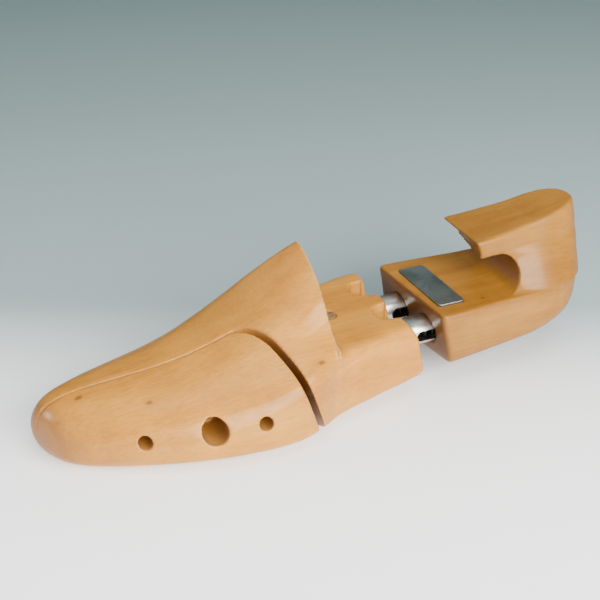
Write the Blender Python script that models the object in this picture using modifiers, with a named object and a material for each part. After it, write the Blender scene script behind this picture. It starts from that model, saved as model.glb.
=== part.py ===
"""Sprung shoe tree for a left shoe: split toe, two steel tubes, hooked heel block.

Metres, +Z up. The toe points to -X and the heel to +X, the outer (little toe)
side of the foot is -Y. The tree stands on the flat sole of its forepart.
Rest pose: heel block pushed fully out by its springs, toe wing pushed forward.
"""

import math

import bmesh
import bpy
from mathutils import Matrix, Vector

MM = 0.001
GAP = 0.3 * MM

# ---------------------------------------------------------------- main sizes
LENGTH = 273.0 * MM
CREST_X = 125.0 * MM          # rear face of the instep crest, from the toe tip
WAIST_REAR_X = 165.6 * MM     # rear top edge of the waist block
HEEL_FRONT_X = 180.6 * MM     # front top edge of the heel block
ORIGIN_X = LENGTH / 2
ORIGIN_Y = -7.3 * MM
SIDE_TILT = 0.07              # flat tops rise this much per unit towards the inner side
AXIS_Y = 1.6 * MM             # middle line of waist block and heel block
WAIST_TOP = 38.6 * MM
HEEL_TOP = 39.3 * MM

# tubes
TUBE_SPACING = 22.6 * MM
TUBE_Z = 25.0 * MM
TUBE_R = 6.75 * MM
TUBE_WALL = 1.0 * MM
TUBE_FRONT = 145.0 * MM
TUBE_REAR = 200.0 * MM
BORE_R = TUBE_R + 0.2 * MM

# heel travel: the cross pin slides in the tubes' slots
HEEL_TRAVEL = 9.5 * MM
HEEL_BORE_END = TUBE_REAR + HEEL_TRAVEL + 4.0 * MM
PIN_R = 2.4 * MM
PIN_X = 193.9 * MM
SLOT_HALF = PIN_R + 0.3 * MM
SLOT_FRONT = 174.5 * MM
SLOT_REAR = PIN_X + SLOT_HALF + 0.05 * MM

# notch over each tube in the rear of the waist block, with the tube's screw in it
NOTCH_X = 161.5 * MM
NOTCH_HALF = 6.6 * MM
NOTCH_FLARE = 2.8 * MM
SCREW_R = 1.6 * MM
SCREW_HEAD_R = 3.1 * MM
SCREW_DEPTH = 16.0 * MM        # from the tube's middle line down to the tip

# toe wing
WING_TRAVEL = 2.8 * MM
WING_GAP = 3.2 * MM
SPLIT_FRONT = Vector((11.0, -1.0)) * MM
SPLIT_REAR = Vector((94.0, -9.0)) * MM
SHOULDER_LONG = 19.5 * MM      # the shoulder is a quarter ellipse in plan
SHOULDER_WIDE = 36.0 * MM
SHOULDER_LEVEL = 20.0 * MM     # height at which those sizes are taken
SHOULDER_SLANT = 0.36          # forward lean of the shoulder per unit of height
SPLIT_KERF = 0.35 * MM

# plate and plugs
CREST_PLUG_R = 3.3 * MM
CREST_PLUG_DEPTH = 7.0 * MM
PIN_PLUG_R = 3.3 * MM
PLATE_X = 192.2 * MM
PLATE_LENGTH = 37.5 * MM
PLATE_WIDTH = 14.0 * MM
PLATE_THICK = 1.0 * MM
STUD_R = 1.0 * MM

RING_QUARTER = 10
ROUND_STEPS = 32

# --------------------------------------------------- scene and materials
for old in list(bpy.data.objects):
    bpy.data.objects.remove(old, do_unlink=True)

PARTS = bpy.data.collections.new("shoe_tree")
CUTTERS = bpy.data.collections.new("cutters")
bpy.context.scene.collection.children.link(PARTS)
bpy.context.scene.collection.children.link(CUTTERS)


def make_material(name, colour, roughness, metallic):
    """One Principled material."""
    material = bpy.data.materials.new(name)
    material.use_nodes = True
    shader = material.node_tree.nodes["Principled BSDF"]
    shader.inputs["Base Color"].default_value = (*colour, 1.0)
    shader.inputs["Roughness"].default_value = roughness
    shader.inputs["Metallic"].default_value = metallic
    return material


VARNISHED_WOOD = make_material("varnished_wood", (0.62, 0.33, 0.13), 0.35, 0.0)
PLUG_WOOD = make_material("plug_wood", (0.68, 0.41, 0.20), 0.45, 0.0)
NICKEL = make_material("nickel_tube", (0.72, 0.70, 0.67), 0.22, 1.0)
STEEL = make_material("spring_steel", (0.45, 0.45, 0.46), 0.35, 1.0)
BRUSHED = make_material("brushed_plate", (0.36, 0.40, 0.40), 0.38, 1.0)


# -------------------------------------------------------------- small helpers
def to_frame(point):
    """From toe-tip coordinates to the object's frame (middle of the box, on the ground)."""
    return Vector((point[0] - ORIGIN_X, point[1] - ORIGIN_Y, point[2]))


def tilt(y):
    """Extra height of the tilted flat tops at a place across the tree."""
    return SIDE_TILT * (y - AXIS_Y)


def ramp(value, start, end):
    """Smooth 0..1 ramp."""
    t = min(1.0, max(0.0, (value - start) / (end - start)))
    return t * t * (3.0 - 2.0 * t)


def curve_value(stations, x):
    """Smooth curve through (x, value) stations, no overshoot."""
    last = len(stations) - 1
    if x <= stations[0][0]:
        return stations[0][1]
    if x >= stations[last][0]:
        return stations[last][1]
    slopes = []
    for i in range(last):
        (xa, va), (xb, vb) = stations[i], stations[i + 1]
        slopes.append((vb - va) / (xb - xa))
    tangents = [slopes[0]]
    for before, after in zip(slopes, slopes[1:]):
        if before * after <= 0.0:
            tangents.append(0.0)
        else:
            tangents.append(2.0 * before * after / (before + after))
    tangents.append(slopes[-1])
    i = max(k for k in range(last) if stations[k][0] <= x)
    (xa, va), (xb, vb) = stations[i], stations[i + 1]
    h = xb - xa
    t = (x - xa) / h
    return (
        (2 * t**3 - 3 * t**2 + 1) * va
        + (t**3 - 2 * t**2 + t) * h * tangents[i]
        + (3 * t**2 - 2 * t**3) * vb
        + (t**3 - t**2) * h * tangents[i + 1]
    )


def millimetres(*pairs):
    """Stations given in millimetres."""
    return [(a * MM, b * MM) for a, b in pairs]


def mesh_object(name, bm, material, collection=PARTS):
    """Link a finished bmesh as an object."""
    bmesh.ops.remove_doubles(bm, verts=bm.verts, dist=0.01 * MM)
    bmesh.ops.recalc_face_normals(bm, faces=bm.faces)
    mesh = bpy.data.meshes.new(name)
    bm.to_mesh(mesh)
    bm.free()
    mesh.materials.append(material)
    for polygon in mesh.polygons:
        polygon.use_smooth = True
    made = bpy.data.objects.new(name, mesh)
    collection.objects.link(made)
    return made


def loft(bm, rings, first_point=None, last_point=None):
    """Skin a row of equal rings; each end closes on a point or a flat face."""
    rows = [[bm.verts.new(p) for p in ring] for ring in rings]
    count = len(rows[0])
    for row_a, row_b in zip(rows, rows[1:]):
        for i in range(count):
            j = (i + 1) % count
            bm.faces.new((row_a[i], row_a[j], row_b[j], row_b[i]))
    for row, tip in ((rows[0], first_point), (rows[-1], last_point)):
        if tip is None:
            bm.faces.new(row)
            continue
        middle = bm.verts.new(tip)
        for i in range(count):
            bm.faces.new((row[i], row[(i + 1) % count], middle))


def cylinder(name, radius, start, end, material=STEEL, collection=CUTTERS, steps=ROUND_STEPS):
    """Closed round bar from one point of the object's frame to another."""
    axis = Vector(end) - Vector(start)
    bm = bmesh.new()
    turn = Vector((0, 0, 1)).rotation_difference(axis).to_matrix().to_4x4()
    bmesh.ops.create_cone(
        bm,
        cap_ends=True,
        segments=steps,
        radius1=radius,
        radius2=radius,
        depth=axis.length,
        matrix=Matrix.Translation((Vector(start) + Vector(end)) / 2) @ turn,
    )
    return mesh_object(name, bm, material, collection)


def prism(name, outline, low, high, direction="Z", collection=CUTTERS, material=STEEL):
    """Closed prism over an outline in the plane across the direction."""
    bm = bmesh.new()
    if direction == "Z":
        rings = [[(a, b, level) for a, b in outline] for level in (low, high)]
    else:
        rings = [[(a, level, b) for a, b in outline] for level in (low, high)]
    loft(bm, rings)
    return mesh_object(name, bm, material, collection)


def apply_boolean(target, cutter, operation="DIFFERENCE"):
    """Exact Boolean, baked into the target's mesh."""
    step = target.modifiers.new("cut", "BOOLEAN")
    step.operation = operation
    step.solver = "EXACT"
    step.object = cutter
    graph = bpy.context.evaluated_depsgraph_get()
    baked = bpy.data.meshes.new_from_object(target.evaluated_get(graph))
    target.modifiers.remove(step)
    target.data = baked
    tidy = bmesh.new()
    tidy.from_mesh(baked)
    bmesh.ops.remove_doubles(tidy, verts=tidy.verts, dist=0.005 * MM)
    bmesh.ops.dissolve_degenerate(tidy, dist=0.005 * MM, edges=tidy.edges)
    tidy.to_mesh(baked)
    tidy.free()
    cutter.hide_render = True
    cutter.display_type = "WIRE"


def move_origin(target, point):
    """Put the object's origin on its joint axis without moving the shape."""
    target.data.transform(Matrix.Translation(-Vector(point)))
    target.location = point


# ------------------------------------------------------ forepart: the last shape
OUTER_EDGE = millimetres(
    (0, 4.5), (0.6, 1.5), (2.8, -5.0), (5.6, -10.5), (10.4, -16.5), (21, -23.7), (32, -29.6), (43, -34.4),
    (59, -40.0), (79, -44.5), (92, -45.6), (102, -45.0), (110, -42.6), (118, -38.6), (125, -34.9),
    (133, -32.3), (150, -29.0), (172, -26.0),
)
INNER_EDGE = millimetres(
    (0, 4.5), (0.6, 7.0), (2.8, 9.6), (5.6, 11.8), (14.8, 17.0), (26.6, 22.6), (47, 28.6), (62, 30.8),
    (72.5, 31.0), (85, 29.0), (95, 26.0), (105, 21.8), (115, 18.4), (125, 17.2), (135, 22.4), (147, 28.0),
    (160, 30.8), (172, 31.0),
)
RIDGE_TOP = millimetres(
    (0, 14), (0.6, 17.0), (2.8, 21.5), (5.6, 24.6), (8, 26.2), (13, 28.3), (22, 30.4), (32, 31.9), (42, 33.2),
    (54, 35.2), (66, 38.3), (78, 43.2), (91, 50.4), (101, 57.2), (112, 64.8), (120, 70.3), (125, 73.2),
)
RIDGE_SIDE = millimetres(
    (0, 4.5), (22, 3.0), (42, 4.0), (54, 5.5), (70, 9.0), (80, 11.0), (91, 12.0), (101, 12.0), (112, 10.5),
    (120, 8.0), (125, 6.4), (140, 0.0), (172, 1.3),
)
SOLE = millimetres(
    (0, 12), (0.6, 8.4), (2.8, 4.0), (5.6, 1.8), (11, -0.3), (18, -1.2), (118, -1.2), (134, 0.4), (150, 3.8),
    (160, 5.6), (172, 7.4),
)
WIDEST = millimetres((0, 12.5), (5.6, 11.5), (18, 9.5), (40, 9), (110, 9), (125, 9.5), (150, 12), (172, 15))

# half sections between the widest point (1, 0) and the ridge (0, 1)
CREST_OUTER = (
    (1.0, 0.0), (0.995, 0.18), (0.985, 0.33), (0.94, 0.43), (0.85, 0.50), (0.72, 0.60), (0.59, 0.74),
    (0.44, 0.845), (0.28, 0.92), (0.12, 0.975), (0.0, 1.0),
)
CREST_INNER = (
    (1.0, 0.0), (1.0, 0.15), (1.0, 0.30), (0.985, 0.43), (0.94, 0.55), (0.88, 0.66), (0.79, 0.76),
    (0.66, 0.85), (0.48, 0.93), (0.25, 0.98), (0.0, 1.0),
)
OVAL_POWER = 2.05
SOLE_POWER = 2.7
BLOCK_POWER = 14.0
CREST_FILLET = 5.0 * MM
REAR_LEAN = 7.7 * MM           # how far the waist block's rear face swells back below its top edge
REAR_LEVEL = 15.0 * MM         # height where it stands furthest back
REAR_SKEW = 0.027              # the rear edge stands slightly further back on the inner side
EDGE_ROUND = 1.4 * MM


def quarter(power, step):
    """Point of a superellipse quarter: (1, 0) at step 0 to (0, 1) at the last step."""
    angle = math.pi / 2 * step / RING_QUARTER
    return math.cos(angle) ** (2 / power), math.sin(angle) ** (2 / power)


def last_section(x, block, top=None, inset=0.0):
    """Ring of the forepart at one distance from the toe, as (y, z) pairs.

    block 0 gives the last's rounded section, block 1 the flat topped waist block.
    """
    outer = curve_value(OUTER_EDGE, x) + inset
    inner = curve_value(INNER_EDGE, x) - inset
    ridge = curve_value(RIDGE_SIDE, x)
    widest = curve_value(WIDEST, x)
    sole = curve_value(SOLE, x) + inset
    peak = curve_value(RIDGE_TOP, x) if top is None else top
    crest = ramp(x, 62 * MM, 120 * MM)
    points = []
    for half, edge, crest_shape in ((0, outer, CREST_OUTER), (1, inner, CREST_INNER)):
        upper = []
        for step in range(RING_QUARTER + 1):
            u, w = quarter(OVAL_POWER, step)
            cu, cw = crest_shape[step]
            u = u + (cu - u) * crest
            w = w + (cw - w) * crest
            y = ridge + (edge - ridge) * u
            z = widest + (peak - widest) * w
            if block:
                bu, bw = quarter(BLOCK_POWER, step)
                y = ridge + (edge - ridge) * bu
                z = widest + (peak + tilt(y) - widest) * bw
            upper.append((y, z))
        lower = []
        for step in range(RING_QUARTER + 1):
            u, w = quarter(SOLE_POWER, step)
            lower.append((ridge + (edge - ridge) * u, widest - (widest - sole) * w))
        if half == 0:
            points += upper[:-1]
            tail = lower[1:]
        else:
            points += list(reversed(upper))[:-1]
            points += lower[:-1]
            points += list(reversed(tail))
    return points


def rear_lean(y, z):
    """How far the waist block's rear face stands back at a place on it."""
    share = (z - REAR_LEVEL) / (WAIST_TOP + tilt(y) - REAR_LEVEL)
    return REAR_LEAN * (1 - min(max(share, 0.0), 1.0) ** 2) + REAR_SKEW * y


def forepart_blank(name):
    """Toe, instep crest and waist block as one closed skin."""
    toe_stations = [0.6, 1.5, 2.8, 4.2, 6, 8, 10.5, 13.5, 17, 21, 26]
    toe_stations += [31 + 94 * k / 14 for k in range(15)]
    rings = []
    for station in toe_stations:
        x = station * MM
        rings.append([to_frame((x, y, z)) for y, z in last_section(x, 0)])
    for k in range(5):
        angle = math.pi / 2 * k / 4
        x = CREST_X + CREST_FILLET * (1 - math.cos(angle))
        top = WAIST_TOP + CREST_FILLET * (1 - math.sin(angle))
        rings.append([to_frame((x, y, z)) for y, z in last_section(x, 1, top)])
    block_start = CREST_X + CREST_FILLET
    for k in range(1, 7):
        x = block_start + (WAIST_REAR_X - EDGE_ROUND - block_start) * k / 6
        lean = ramp(x, block_start, WAIST_REAR_X - 6 * MM)
        ring = last_section(x, 1, WAIST_TOP)
        rings.append([to_frame((x + lean * rear_lean(y, z), y, z)) for y, z in ring])
    for k in range(1, 4):
        angle = math.pi / 2 * k / 3
        x = WAIST_REAR_X - EDGE_ROUND * (1 - math.sin(angle))
        inset = EDGE_ROUND * (1 - math.cos(angle))
        ring = last_section(x, 1, WAIST_TOP - inset, inset)
        rings.append([to_frame((x + rear_lean(y, z), y, z)) for y, z in ring])
    bm = bmesh.new()
    loft(bm, rings, first_point=to_frame((0, 4.5 * MM, 13 * MM)))
    blank = mesh_object(name, bm, VARNISHED_WOOD)
    corners = [(-0.5, -0.2), (0.5, -0.2), (0.5, 0.2), (-0.5, 0.2)]
    apply_boolean(blank, prism("below_ground", corners, -0.05, 0.0))
    return blank


# --------------------------------------------------------- toe wing, by a plan cut
SPLIT_LINE = (SPLIT_REAR - SPLIT_FRONT).normalized()
SPLIT_SIDE = Vector((SPLIT_LINE.y, -SPLIT_LINE.x))


def wing_outline(forward, offset):
    """Plan outline of the wing: split line, rounded shoulder, then out past the side."""
    shift = -SPLIT_LINE * forward + SPLIT_SIDE * offset
    start = SPLIT_FRONT - SPLIT_LINE * 40 * MM
    centre = SPLIT_REAR + SPLIT_SIDE * SHOULDER_WIDE
    points = [start + SPLIT_SIDE * 80 * MM, start]
    for k in range(13):
        angle = math.pi / 2 * k / 12
        aside = SPLIT_SIDE * SHOULDER_WIDE * math.cos(angle)
        points.append(centre - aside + SPLIT_LINE * SHOULDER_LONG * math.sin(angle))
    points.append(points[-1] + SPLIT_SIDE * 52 * MM)
    return [tuple(to_frame((*(p + shift), 0))[:2]) for p in points]


def wing_cutter(name, forward, offset):
    """Closed cutter in the wing's outline, leaning forward with height along the split line."""
    rings = []
    for level in (-5 * MM, 80 * MM):
        lean = SPLIT_LINE * SHOULDER_SLANT * (SHOULDER_LEVEL - level)
        rings.append([(x + lean.x, y + lean.y, level) for x, y in wing_outline(forward, offset)])
    bm = bmesh.new()
    loft(bm, rings)
    return mesh_object(name, bm, STEEL, CUTTERS)


def wing_axis_point(along, across, height):
    """Point given along the split line from its rear end, across it and above ground."""
    flat = SPLIT_REAR + SPLIT_LINE * along + SPLIT_SIDE * across
    return to_frame((flat.x, flat.y, height))


def tube_line(side, x):
    """Point on a tube's middle line; side is -1 for the outer tube and 1 for the inner."""
    y = AXIS_Y + side * TUBE_SPACING / 2
    return to_frame((x, y, TUBE_Z + tilt(y)))


TOP_NORMAL = Vector((0.0, -SIDE_TILT, 1.0)).normalized()
ACROSS = Vector((0.0, 1.0, SIDE_TILT)).normalized()

GUIDE_R = 2.0 * MM
GUIDES = {"upper": (9.0 * MM, 25.0 * MM, 15.0 * MM), "lower": (13.0 * MM, 11.0 * MM, 10.5 * MM)}
GUIDE_REACH = 22.0 * MM
POCKET_R = 3.9 * MM
POCKET_DEPTH = 9.0 * MM
BODY_POCKET = 2.0 * MM
NECK_R = 1.2 * MM
NECK_START = 20.5 * MM
NECK_LENGTH = 5.2 * MM
RETAINER_R = 0.9 * MM
VENTS = ((38.2, -31.2, 15.1, 2.85, 12.0), (65.3, -39.6, 17.4, 5.4, 17.0), (86.0, -44.0, 18.3, 2.95, 10.0))


def shoulder_along(across, height):
    """Where the rounded shoulder lies along the split line, at a distance across it."""
    share = math.sqrt(1.0 - (1.0 - across / SHOULDER_WIDE) ** 2)
    return SHOULDER_LONG * share + SHOULDER_SLANT * (SHOULDER_LEVEL - height)


def make_forepart():
    """Forepart body: the blank less the wing, the bores and the fittings' holes."""
    body = forepart_blank("forepart_body")
    apply_boolean(body, wing_cutter("wing_space", 0.0, 0.0))
    for side in (-1, 1):
        start = tube_line(side, TUBE_FRONT - GAP)
        apply_boolean(body, cylinder("tube_bore", BORE_R, start, tube_line(side, LENGTH)))
        apply_boolean(body, notch_cutter(side))
        axis = tube_line(side, NOTCH_X)
        tip = axis - Vector((0, 0, SCREW_DEPTH + GAP))
        apply_boolean(body, cylinder("screw_hole", SCREW_R + 0.2 * MM, tip, axis, steps=20))
    foot = crest_plug_point()
    low = foot - TOP_NORMAL * (CREST_PLUG_DEPTH + GAP)
    high = foot + TOP_NORMAL * 10 * MM
    apply_boolean(body, cylinder("crest_plug_hole", CREST_PLUG_R + 0.2 * MM, low, high))
    for across, height, hold in GUIDES.values():
        shoulder = shoulder_along(across, height)
        start = wing_axis_point(0.0, across, height)
        end = wing_axis_point(shoulder + hold + GAP, across, height)
        apply_boolean(body, cylinder("guide_hole", GUIDE_R + 0.2 * MM, start, end, steps=20))
        end = wing_axis_point(shoulder + BODY_POCKET, across, height)
        apply_boolean(body, cylinder("spring_pocket", POCKET_R, start, end, steps=24))
    return body


def notch_cutter(side):
    """Upright U-shaped notch over a tube: round in front, flared where it leaves the block."""
    axis = tube_line(side, NOTCH_X)
    half = []
    for k in range(7):
        angle = math.pi / 2 * k / 6
        half.append((-NOTCH_HALF * math.cos(angle), NOTCH_HALF * math.sin(angle)))
    flare_x = 1.5 * MM
    for k in range(1, 5):
        angle = math.pi / 2 * k / 4
        widening = NOTCH_FLARE * (1 - math.cos(angle))
        half.append((flare_x + NOTCH_FLARE * math.sin(angle), NOTCH_HALF + widening))
    half.append((20 * MM, half[-1][1]))
    outline = [(axis.x + x, axis.y + y) for x, y in half]
    outline += [(axis.x + x, axis.y - y) for x, y in reversed(half[1:])]
    return prism("tube_notch", outline, axis.z + 1.0 * MM, axis.z + 30 * MM)


def crest_plug_point():
    """Middle of the plug at the foot of the crest, on the waist block's top."""
    return to_frame((135.6 * MM, -2.6 * MM, WAIST_TOP + tilt(-2.6 * MM)))


def make_wing():
    """Outer toe wing with its three vent bores, guide holes and spring pockets."""
    wing = forepart_blank("toe_wing")
    apply_boolean(wing, wing_cutter("wing_keep", WING_GAP, SPLIT_KERF), "INTERSECT")
    inward = Vector((-SPLIT_SIDE.x, -SPLIT_SIDE.y, 0.0))
    for x, y, z, radius, depth in VENTS:
        mouth = to_frame((x * MM, y * MM, z * MM))
        end = mouth + inward * depth * MM
        apply_boolean(wing, cylinder("vent", radius * MM, mouth - inward * 15 * MM, end, steps=28))
    for across, height, _ in GUIDES.values():
        face = shoulder_along(across, height) - WING_GAP
        outside = wing_axis_point(face + 30 * MM, across, height)
        end = wing_axis_point(face + WING_GAP - GUIDE_REACH - WING_TRAVEL - 0.5 * MM, across, height)
        apply_boolean(wing, cylinder("guide_hole", GUIDE_R + 0.2 * MM, outside, end, steps=20))
        end = wing_axis_point(face - POCKET_DEPTH, across, height)
        apply_boolean(wing, cylinder("spring_pocket", POCKET_R, outside, end, steps=24))
        low, high = retainer_ends(across, height)
        low.z -= 5 * MM
        high.z += GAP
        apply_boolean(wing, cylinder("retainer_hole", RETAINER_R + 0.2 * MM, low, high, steps=16))
    return wing


def retainer_ends(across, height):
    """Lower and upper end of the upright pin that rides in a guide's neck."""
    along = shoulder_along(across, height) - NECK_START + RETAINER_R + 0.15 * MM
    aside = across + NECK_R + RETAINER_R + 0.2 * MM
    return wing_axis_point(along, aside, 0.6 * MM), wing_axis_point(along, aside, height + 3.0 * MM)


def turned(name, profile, start, direction, material, collection=PARTS, steps=ROUND_STEPS):
    """Turned piece: (distance, radius) profile screwed round an axis."""
    bm = bmesh.new()
    verts = [bm.verts.new((radius, 0.0, distance)) for distance, radius in reversed(profile)]
    for a, b in zip(verts, verts[1:]):
        bm.edges.new((a, b))
    mesh = bpy.data.meshes.new(name)
    bm.to_mesh(mesh)
    bm.free()
    mesh.materials.append(material)
    made = bpy.data.objects.new(name, mesh)
    collection.objects.link(made)
    screw = made.modifiers.new("turn", "SCREW")
    screw.steps = steps
    screw.render_steps = steps
    screw.use_merge_vertices = True
    screw.merge_threshold = 0.0000005
    screw.use_smooth_shade = True
    graph = bpy.context.evaluated_depsgraph_get()
    baked = bpy.data.meshes.new_from_object(made.evaluated_get(graph))
    bpy.data.objects.remove(made, do_unlink=True)
    turn = Vector((0, 0, 1)).rotation_difference(Vector(direction)).to_matrix().to_4x4()
    baked.transform(Matrix.Translation(Vector(start)) @ turn)
    bm = bmesh.new()
    bm.from_mesh(baked)
    bpy.data.meshes.remove(baked)
    return mesh_object(name, bm, material, collection)


def coil(name, start, direction, length, radius, wire, turns):
    """Compression spring of round wire with closed end turns."""
    axis = Vector(direction).normalized()
    side = axis.orthogonal().normalized()
    other = axis.cross(side)
    data = bpy.data.curves.new(name, "CURVE")
    data.dimensions = "3D"
    data.bevel_depth = wire
    data.bevel_resolution = 1
    data.use_fill_caps = True
    spline = data.splines.new("POLY")
    per_turn = 10
    count = turns * per_turn + 1
    spline.points.add(count - 1)
    free = length - 2 * wire
    closed = 2.1 * wire
    for i in range(count):
        turn = i / per_turn
        inner = min(max(turn - 1.0, 0.0), turns - 2.0)
        height = closed * min(turn, 1.0) + (free - 2 * closed) * inner / (turns - 2.0)
        height += closed * max(turn - (turns - 1.0), 0.0)
        angle = 2 * math.pi * turn
        place = Vector(start) + axis * (wire + height)
        place += (side * math.cos(angle) + other * math.sin(angle)) * radius
        spline.points[i].co = (*place, 1.0)
    made = bpy.data.objects.new(name + "_wire", data)
    PARTS.objects.link(made)
    graph = bpy.context.evaluated_depsgraph_get()
    baked = bpy.data.meshes.new_from_object(made.evaluated_get(graph))
    bpy.data.objects.remove(made, do_unlink=True)
    bm = bmesh.new()
    bm.from_mesh(baked)
    bpy.data.meshes.remove(baked)
    return mesh_object(name, bm, STEEL)


def make_wing_fittings():
    """Guide pins, their springs and the upright retaining pins."""
    forward = Vector((SPLIT_LINE.x, SPLIT_LINE.y, 0.0))
    for name, (across, height, hold) in GUIDES.items():
        shoulder = shoulder_along(across, height)
        nose = wing_axis_point(shoulder - GUIDE_REACH, across, height)
        length = GUIDE_REACH + hold
        neck_a = GUIDE_REACH - NECK_START
        neck_b = neck_a + NECK_LENGTH
        profile = (
            (0.0, 0.0), (0.0, GUIDE_R - 0.4 * MM), (0.4 * MM, GUIDE_R), (neck_a, GUIDE_R), (neck_a, NECK_R),
            (neck_b, NECK_R), (neck_b, GUIDE_R), (length, GUIDE_R), (length, 0.0),
        )
        turned(f"wing_guide_pin_{name}", profile, nose, forward, STEEL, steps=20)
        seat = wing_axis_point(shoulder - WING_GAP - POCKET_DEPTH + 0.1 * MM, across, height)
        length = POCKET_DEPTH + WING_GAP + BODY_POCKET - 0.2 * MM
        coil(f"wing_spring_{name}", seat, forward, length, 3.0 * MM, 0.4 * MM, 5)
        low, high = retainer_ends(across, height)
        cylinder(f"wing_retainer_{name}", RETAINER_R, low, high, STEEL, PARTS, steps=16)


# ----------------------------------------------------------------- tubes, inside
SEAT_FRONT = NOTCH_X + SCREW_R + 0.15 * MM
SEAT_THICK = 2.5 * MM
SPIGOT_R = 2.6 * MM
SPIGOT_LENGTH = 3.0 * MM
INSIDE_R = TUBE_R - TUBE_WALL


def make_tube_set(side, label):
    """Tube with its slots, its screw, the thrust spring and its two seats."""
    front = tube_line(side, TUBE_FRONT)
    rear = tube_line(side, TUBE_REAR)
    tube = cylinder(f"tube_{label}", TUBE_R, front, rear, NICKEL, PARTS, 32)
    past_ends = [tube_line(side, x) for x in (TUBE_FRONT - 10 * MM, TUBE_REAR + 10 * MM)]
    apply_boolean(tube, cylinder("tube_inside", INSIDE_R, *past_ends))
    middle = tube_line(side, 0.0)
    outline = []
    for centre, start in ((SLOT_FRONT + SLOT_HALF, math.pi / 2), (SLOT_REAR - SLOT_HALF, -math.pi / 2)):
        for k in range(9):
            angle = start + math.pi * k / 8
            x = centre + SLOT_HALF * math.cos(angle)
            outline.append((x - ORIGIN_X, SLOT_HALF * math.sin(angle)))
    slot = prism("slot", outline, -10 * MM, 10 * MM, "Y")
    turn = Matrix.Rotation(math.atan(SIDE_TILT), 4, "X")
    slot.data.transform(Matrix.Translation((0, middle.y, middle.z)) @ turn)
    apply_boolean(tube, slot)
    axis = tube_line(side, NOTCH_X)
    up = Vector((0, 0, 1))
    both_walls = [axis - up * 10 * MM, axis + up * 10 * MM]
    apply_boolean(tube, cylinder("screw_hole", SCREW_R + 0.2 * MM, *both_walls, steps=20))
    head = SCREW_DEPTH + TUBE_R + 0.1 * MM
    profile = (
        (0.0, 0.0), (3.0 * MM, SCREW_R), (head, SCREW_R), (head, SCREW_HEAD_R),
        (head + 0.7 * MM, SCREW_HEAD_R), (head + 1.5 * MM, 2.0 * MM), (head + 1.8 * MM, 0.0),
    )
    turned(f"tube_screw_{label}", profile, axis - up * SCREW_DEPTH, up, STEEL, steps=24)

    backward = Vector((1, 0, 0))
    disc = INSIDE_R - 0.3 * MM
    spigot_end = SEAT_THICK + SPIGOT_LENGTH
    profile = (
        (0.0, 0.0), (0.0, disc), (SEAT_THICK, disc), (SEAT_THICK, SPIGOT_R), (spigot_end, SPIGOT_R),
        (spigot_end, 0.0),
    )
    turned(f"spring_seat_{label}", profile, tube_line(side, SEAT_FRONT), backward, STEEL, steps=28)
    follower_rear = PIN_X - PIN_R - 0.2 * MM
    turned(f"spring_follower_{label}", profile, tube_line(side, follower_rear), -backward, STEEL, steps=28)
    start = SEAT_FRONT + SEAT_THICK + 0.1 * MM
    length = follower_rear - SEAT_THICK - 0.1 * MM - start
    coil(f"thrust_spring_{label}", tube_line(side, start), backward, length, 3.75 * MM, 0.55 * MM, 7)


# ------------------------------------------------------------------ heel block
HOOK_TOP = millimetres(
    (205, 64.0), (219, 65.2), (232, 67.0), (244, 68.6), (254, 70.6), (264, 72.6), (272, 73.4),
)
HEEL_FRONT_SLANT = 0.204
HOOK_NOSE_X = 207.2 * MM
HOOK_SLANT = 0.8               # undercut of the hook's front edge
HOOK_TWIST = 0.2               # the undercut grows towards the inner side
HOOK_LIP = 7.5 * MM            # height of the hook's front edge
BASE_HALF = 28.0 * MM
BASE_NARROWING = 1.9 * MM       # the base leans in towards its top
HEEL_CORNER = 2.8 * MM
HEEL_SKEW = 0.045              # the front edge stands further back on the outer side
FRONT_INSET_SHARE = 0.4        # the front face rounds under less than the sides do

# rows of the base in mm: height, lift towards the rear, inset, rear end
BASE_ROWS = (
    (9.0, 7.5, 7.0, 246), (9.5, 7.4, 4.2, 252.5), (10.8, 7.0, 2.2, 258), (13.2, 6.4, 0.9, 264),
    (17, 5.0, 0.2, 267.5), (23, 2.6, 0, 270.2), (30, 0.6, 0, 271.8), (36.5, 0, 0, 272.4),
    (38.3, 0, 0.25, 272.4), (39, 0, 0.7, 272.4), (39.3, 0, 1.5, 272.3),
)
# rows of the neck and hook: height, share of the way to the sloping top, then in mm the half width at
# the front and in the middle, the rear end, the middle line across and the inset
HOOK_ROWS = (
    (39.3, 0, 22, 24.4, 272.3, 1.3, 0), (41.5, 0, 18.6, 23.6, 272.6, 1.6, 0),
    (44.5, 0, 16, 22.3, 272.8, 2, 0), (48.5, 0, 14.5, 20.6, 272.7, 2.4, 0), (53, 0, 14, 18.6, 273, 2.8, 0),
    (57, 0, 14.3, 16.9, 272.7, 3, 0), (57.5, 0.45, 15, 14.9, 271.8, 3, 0), (57, 0.9, 15.5, 13.3, 270.2, 3, 0),
    (57, 0.97, 15.5, 13.1, 270, 3, 0.35), (57, 1, 15.5, 13.1, 269.9, 3, 1.1),
)
SIDE_STEPS = 5
REAR_STEPS = 10
CORNER_STEPS = 4


def half_outline(front, front_half, corner, middle_x, middle_half, rear, power):
    """Half of a plan outline, from the middle of the front round to the rear tip, as (x, half width)."""
    points = [(front, 0.0), (front, 0.55 * (front_half - corner))]
    for k in range(CORNER_STEPS + 1):
        angle = math.pi / 2 * k / CORNER_STEPS
        aside = front_half - corner * (1 - math.sin(angle))
        points.append((front + corner * (1 - math.cos(angle)), aside))
    start = front + corner
    for k in range(1, SIDE_STEPS + 1):
        t = k / (SIDE_STEPS + 1)
        aside = front_half + (middle_half - front_half) * ramp(t, 0, 1)
        points.append((start + (middle_x - start) * t, aside))
    for k in range(REAR_STEPS + 1):
        angle = math.pi / 2 * k / REAR_STEPS
        points.append((
            middle_x + (rear - middle_x) * math.sin(angle) ** (2 / power),
            middle_half * math.cos(angle) ** (2 / power),
        ))
    return points


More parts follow.
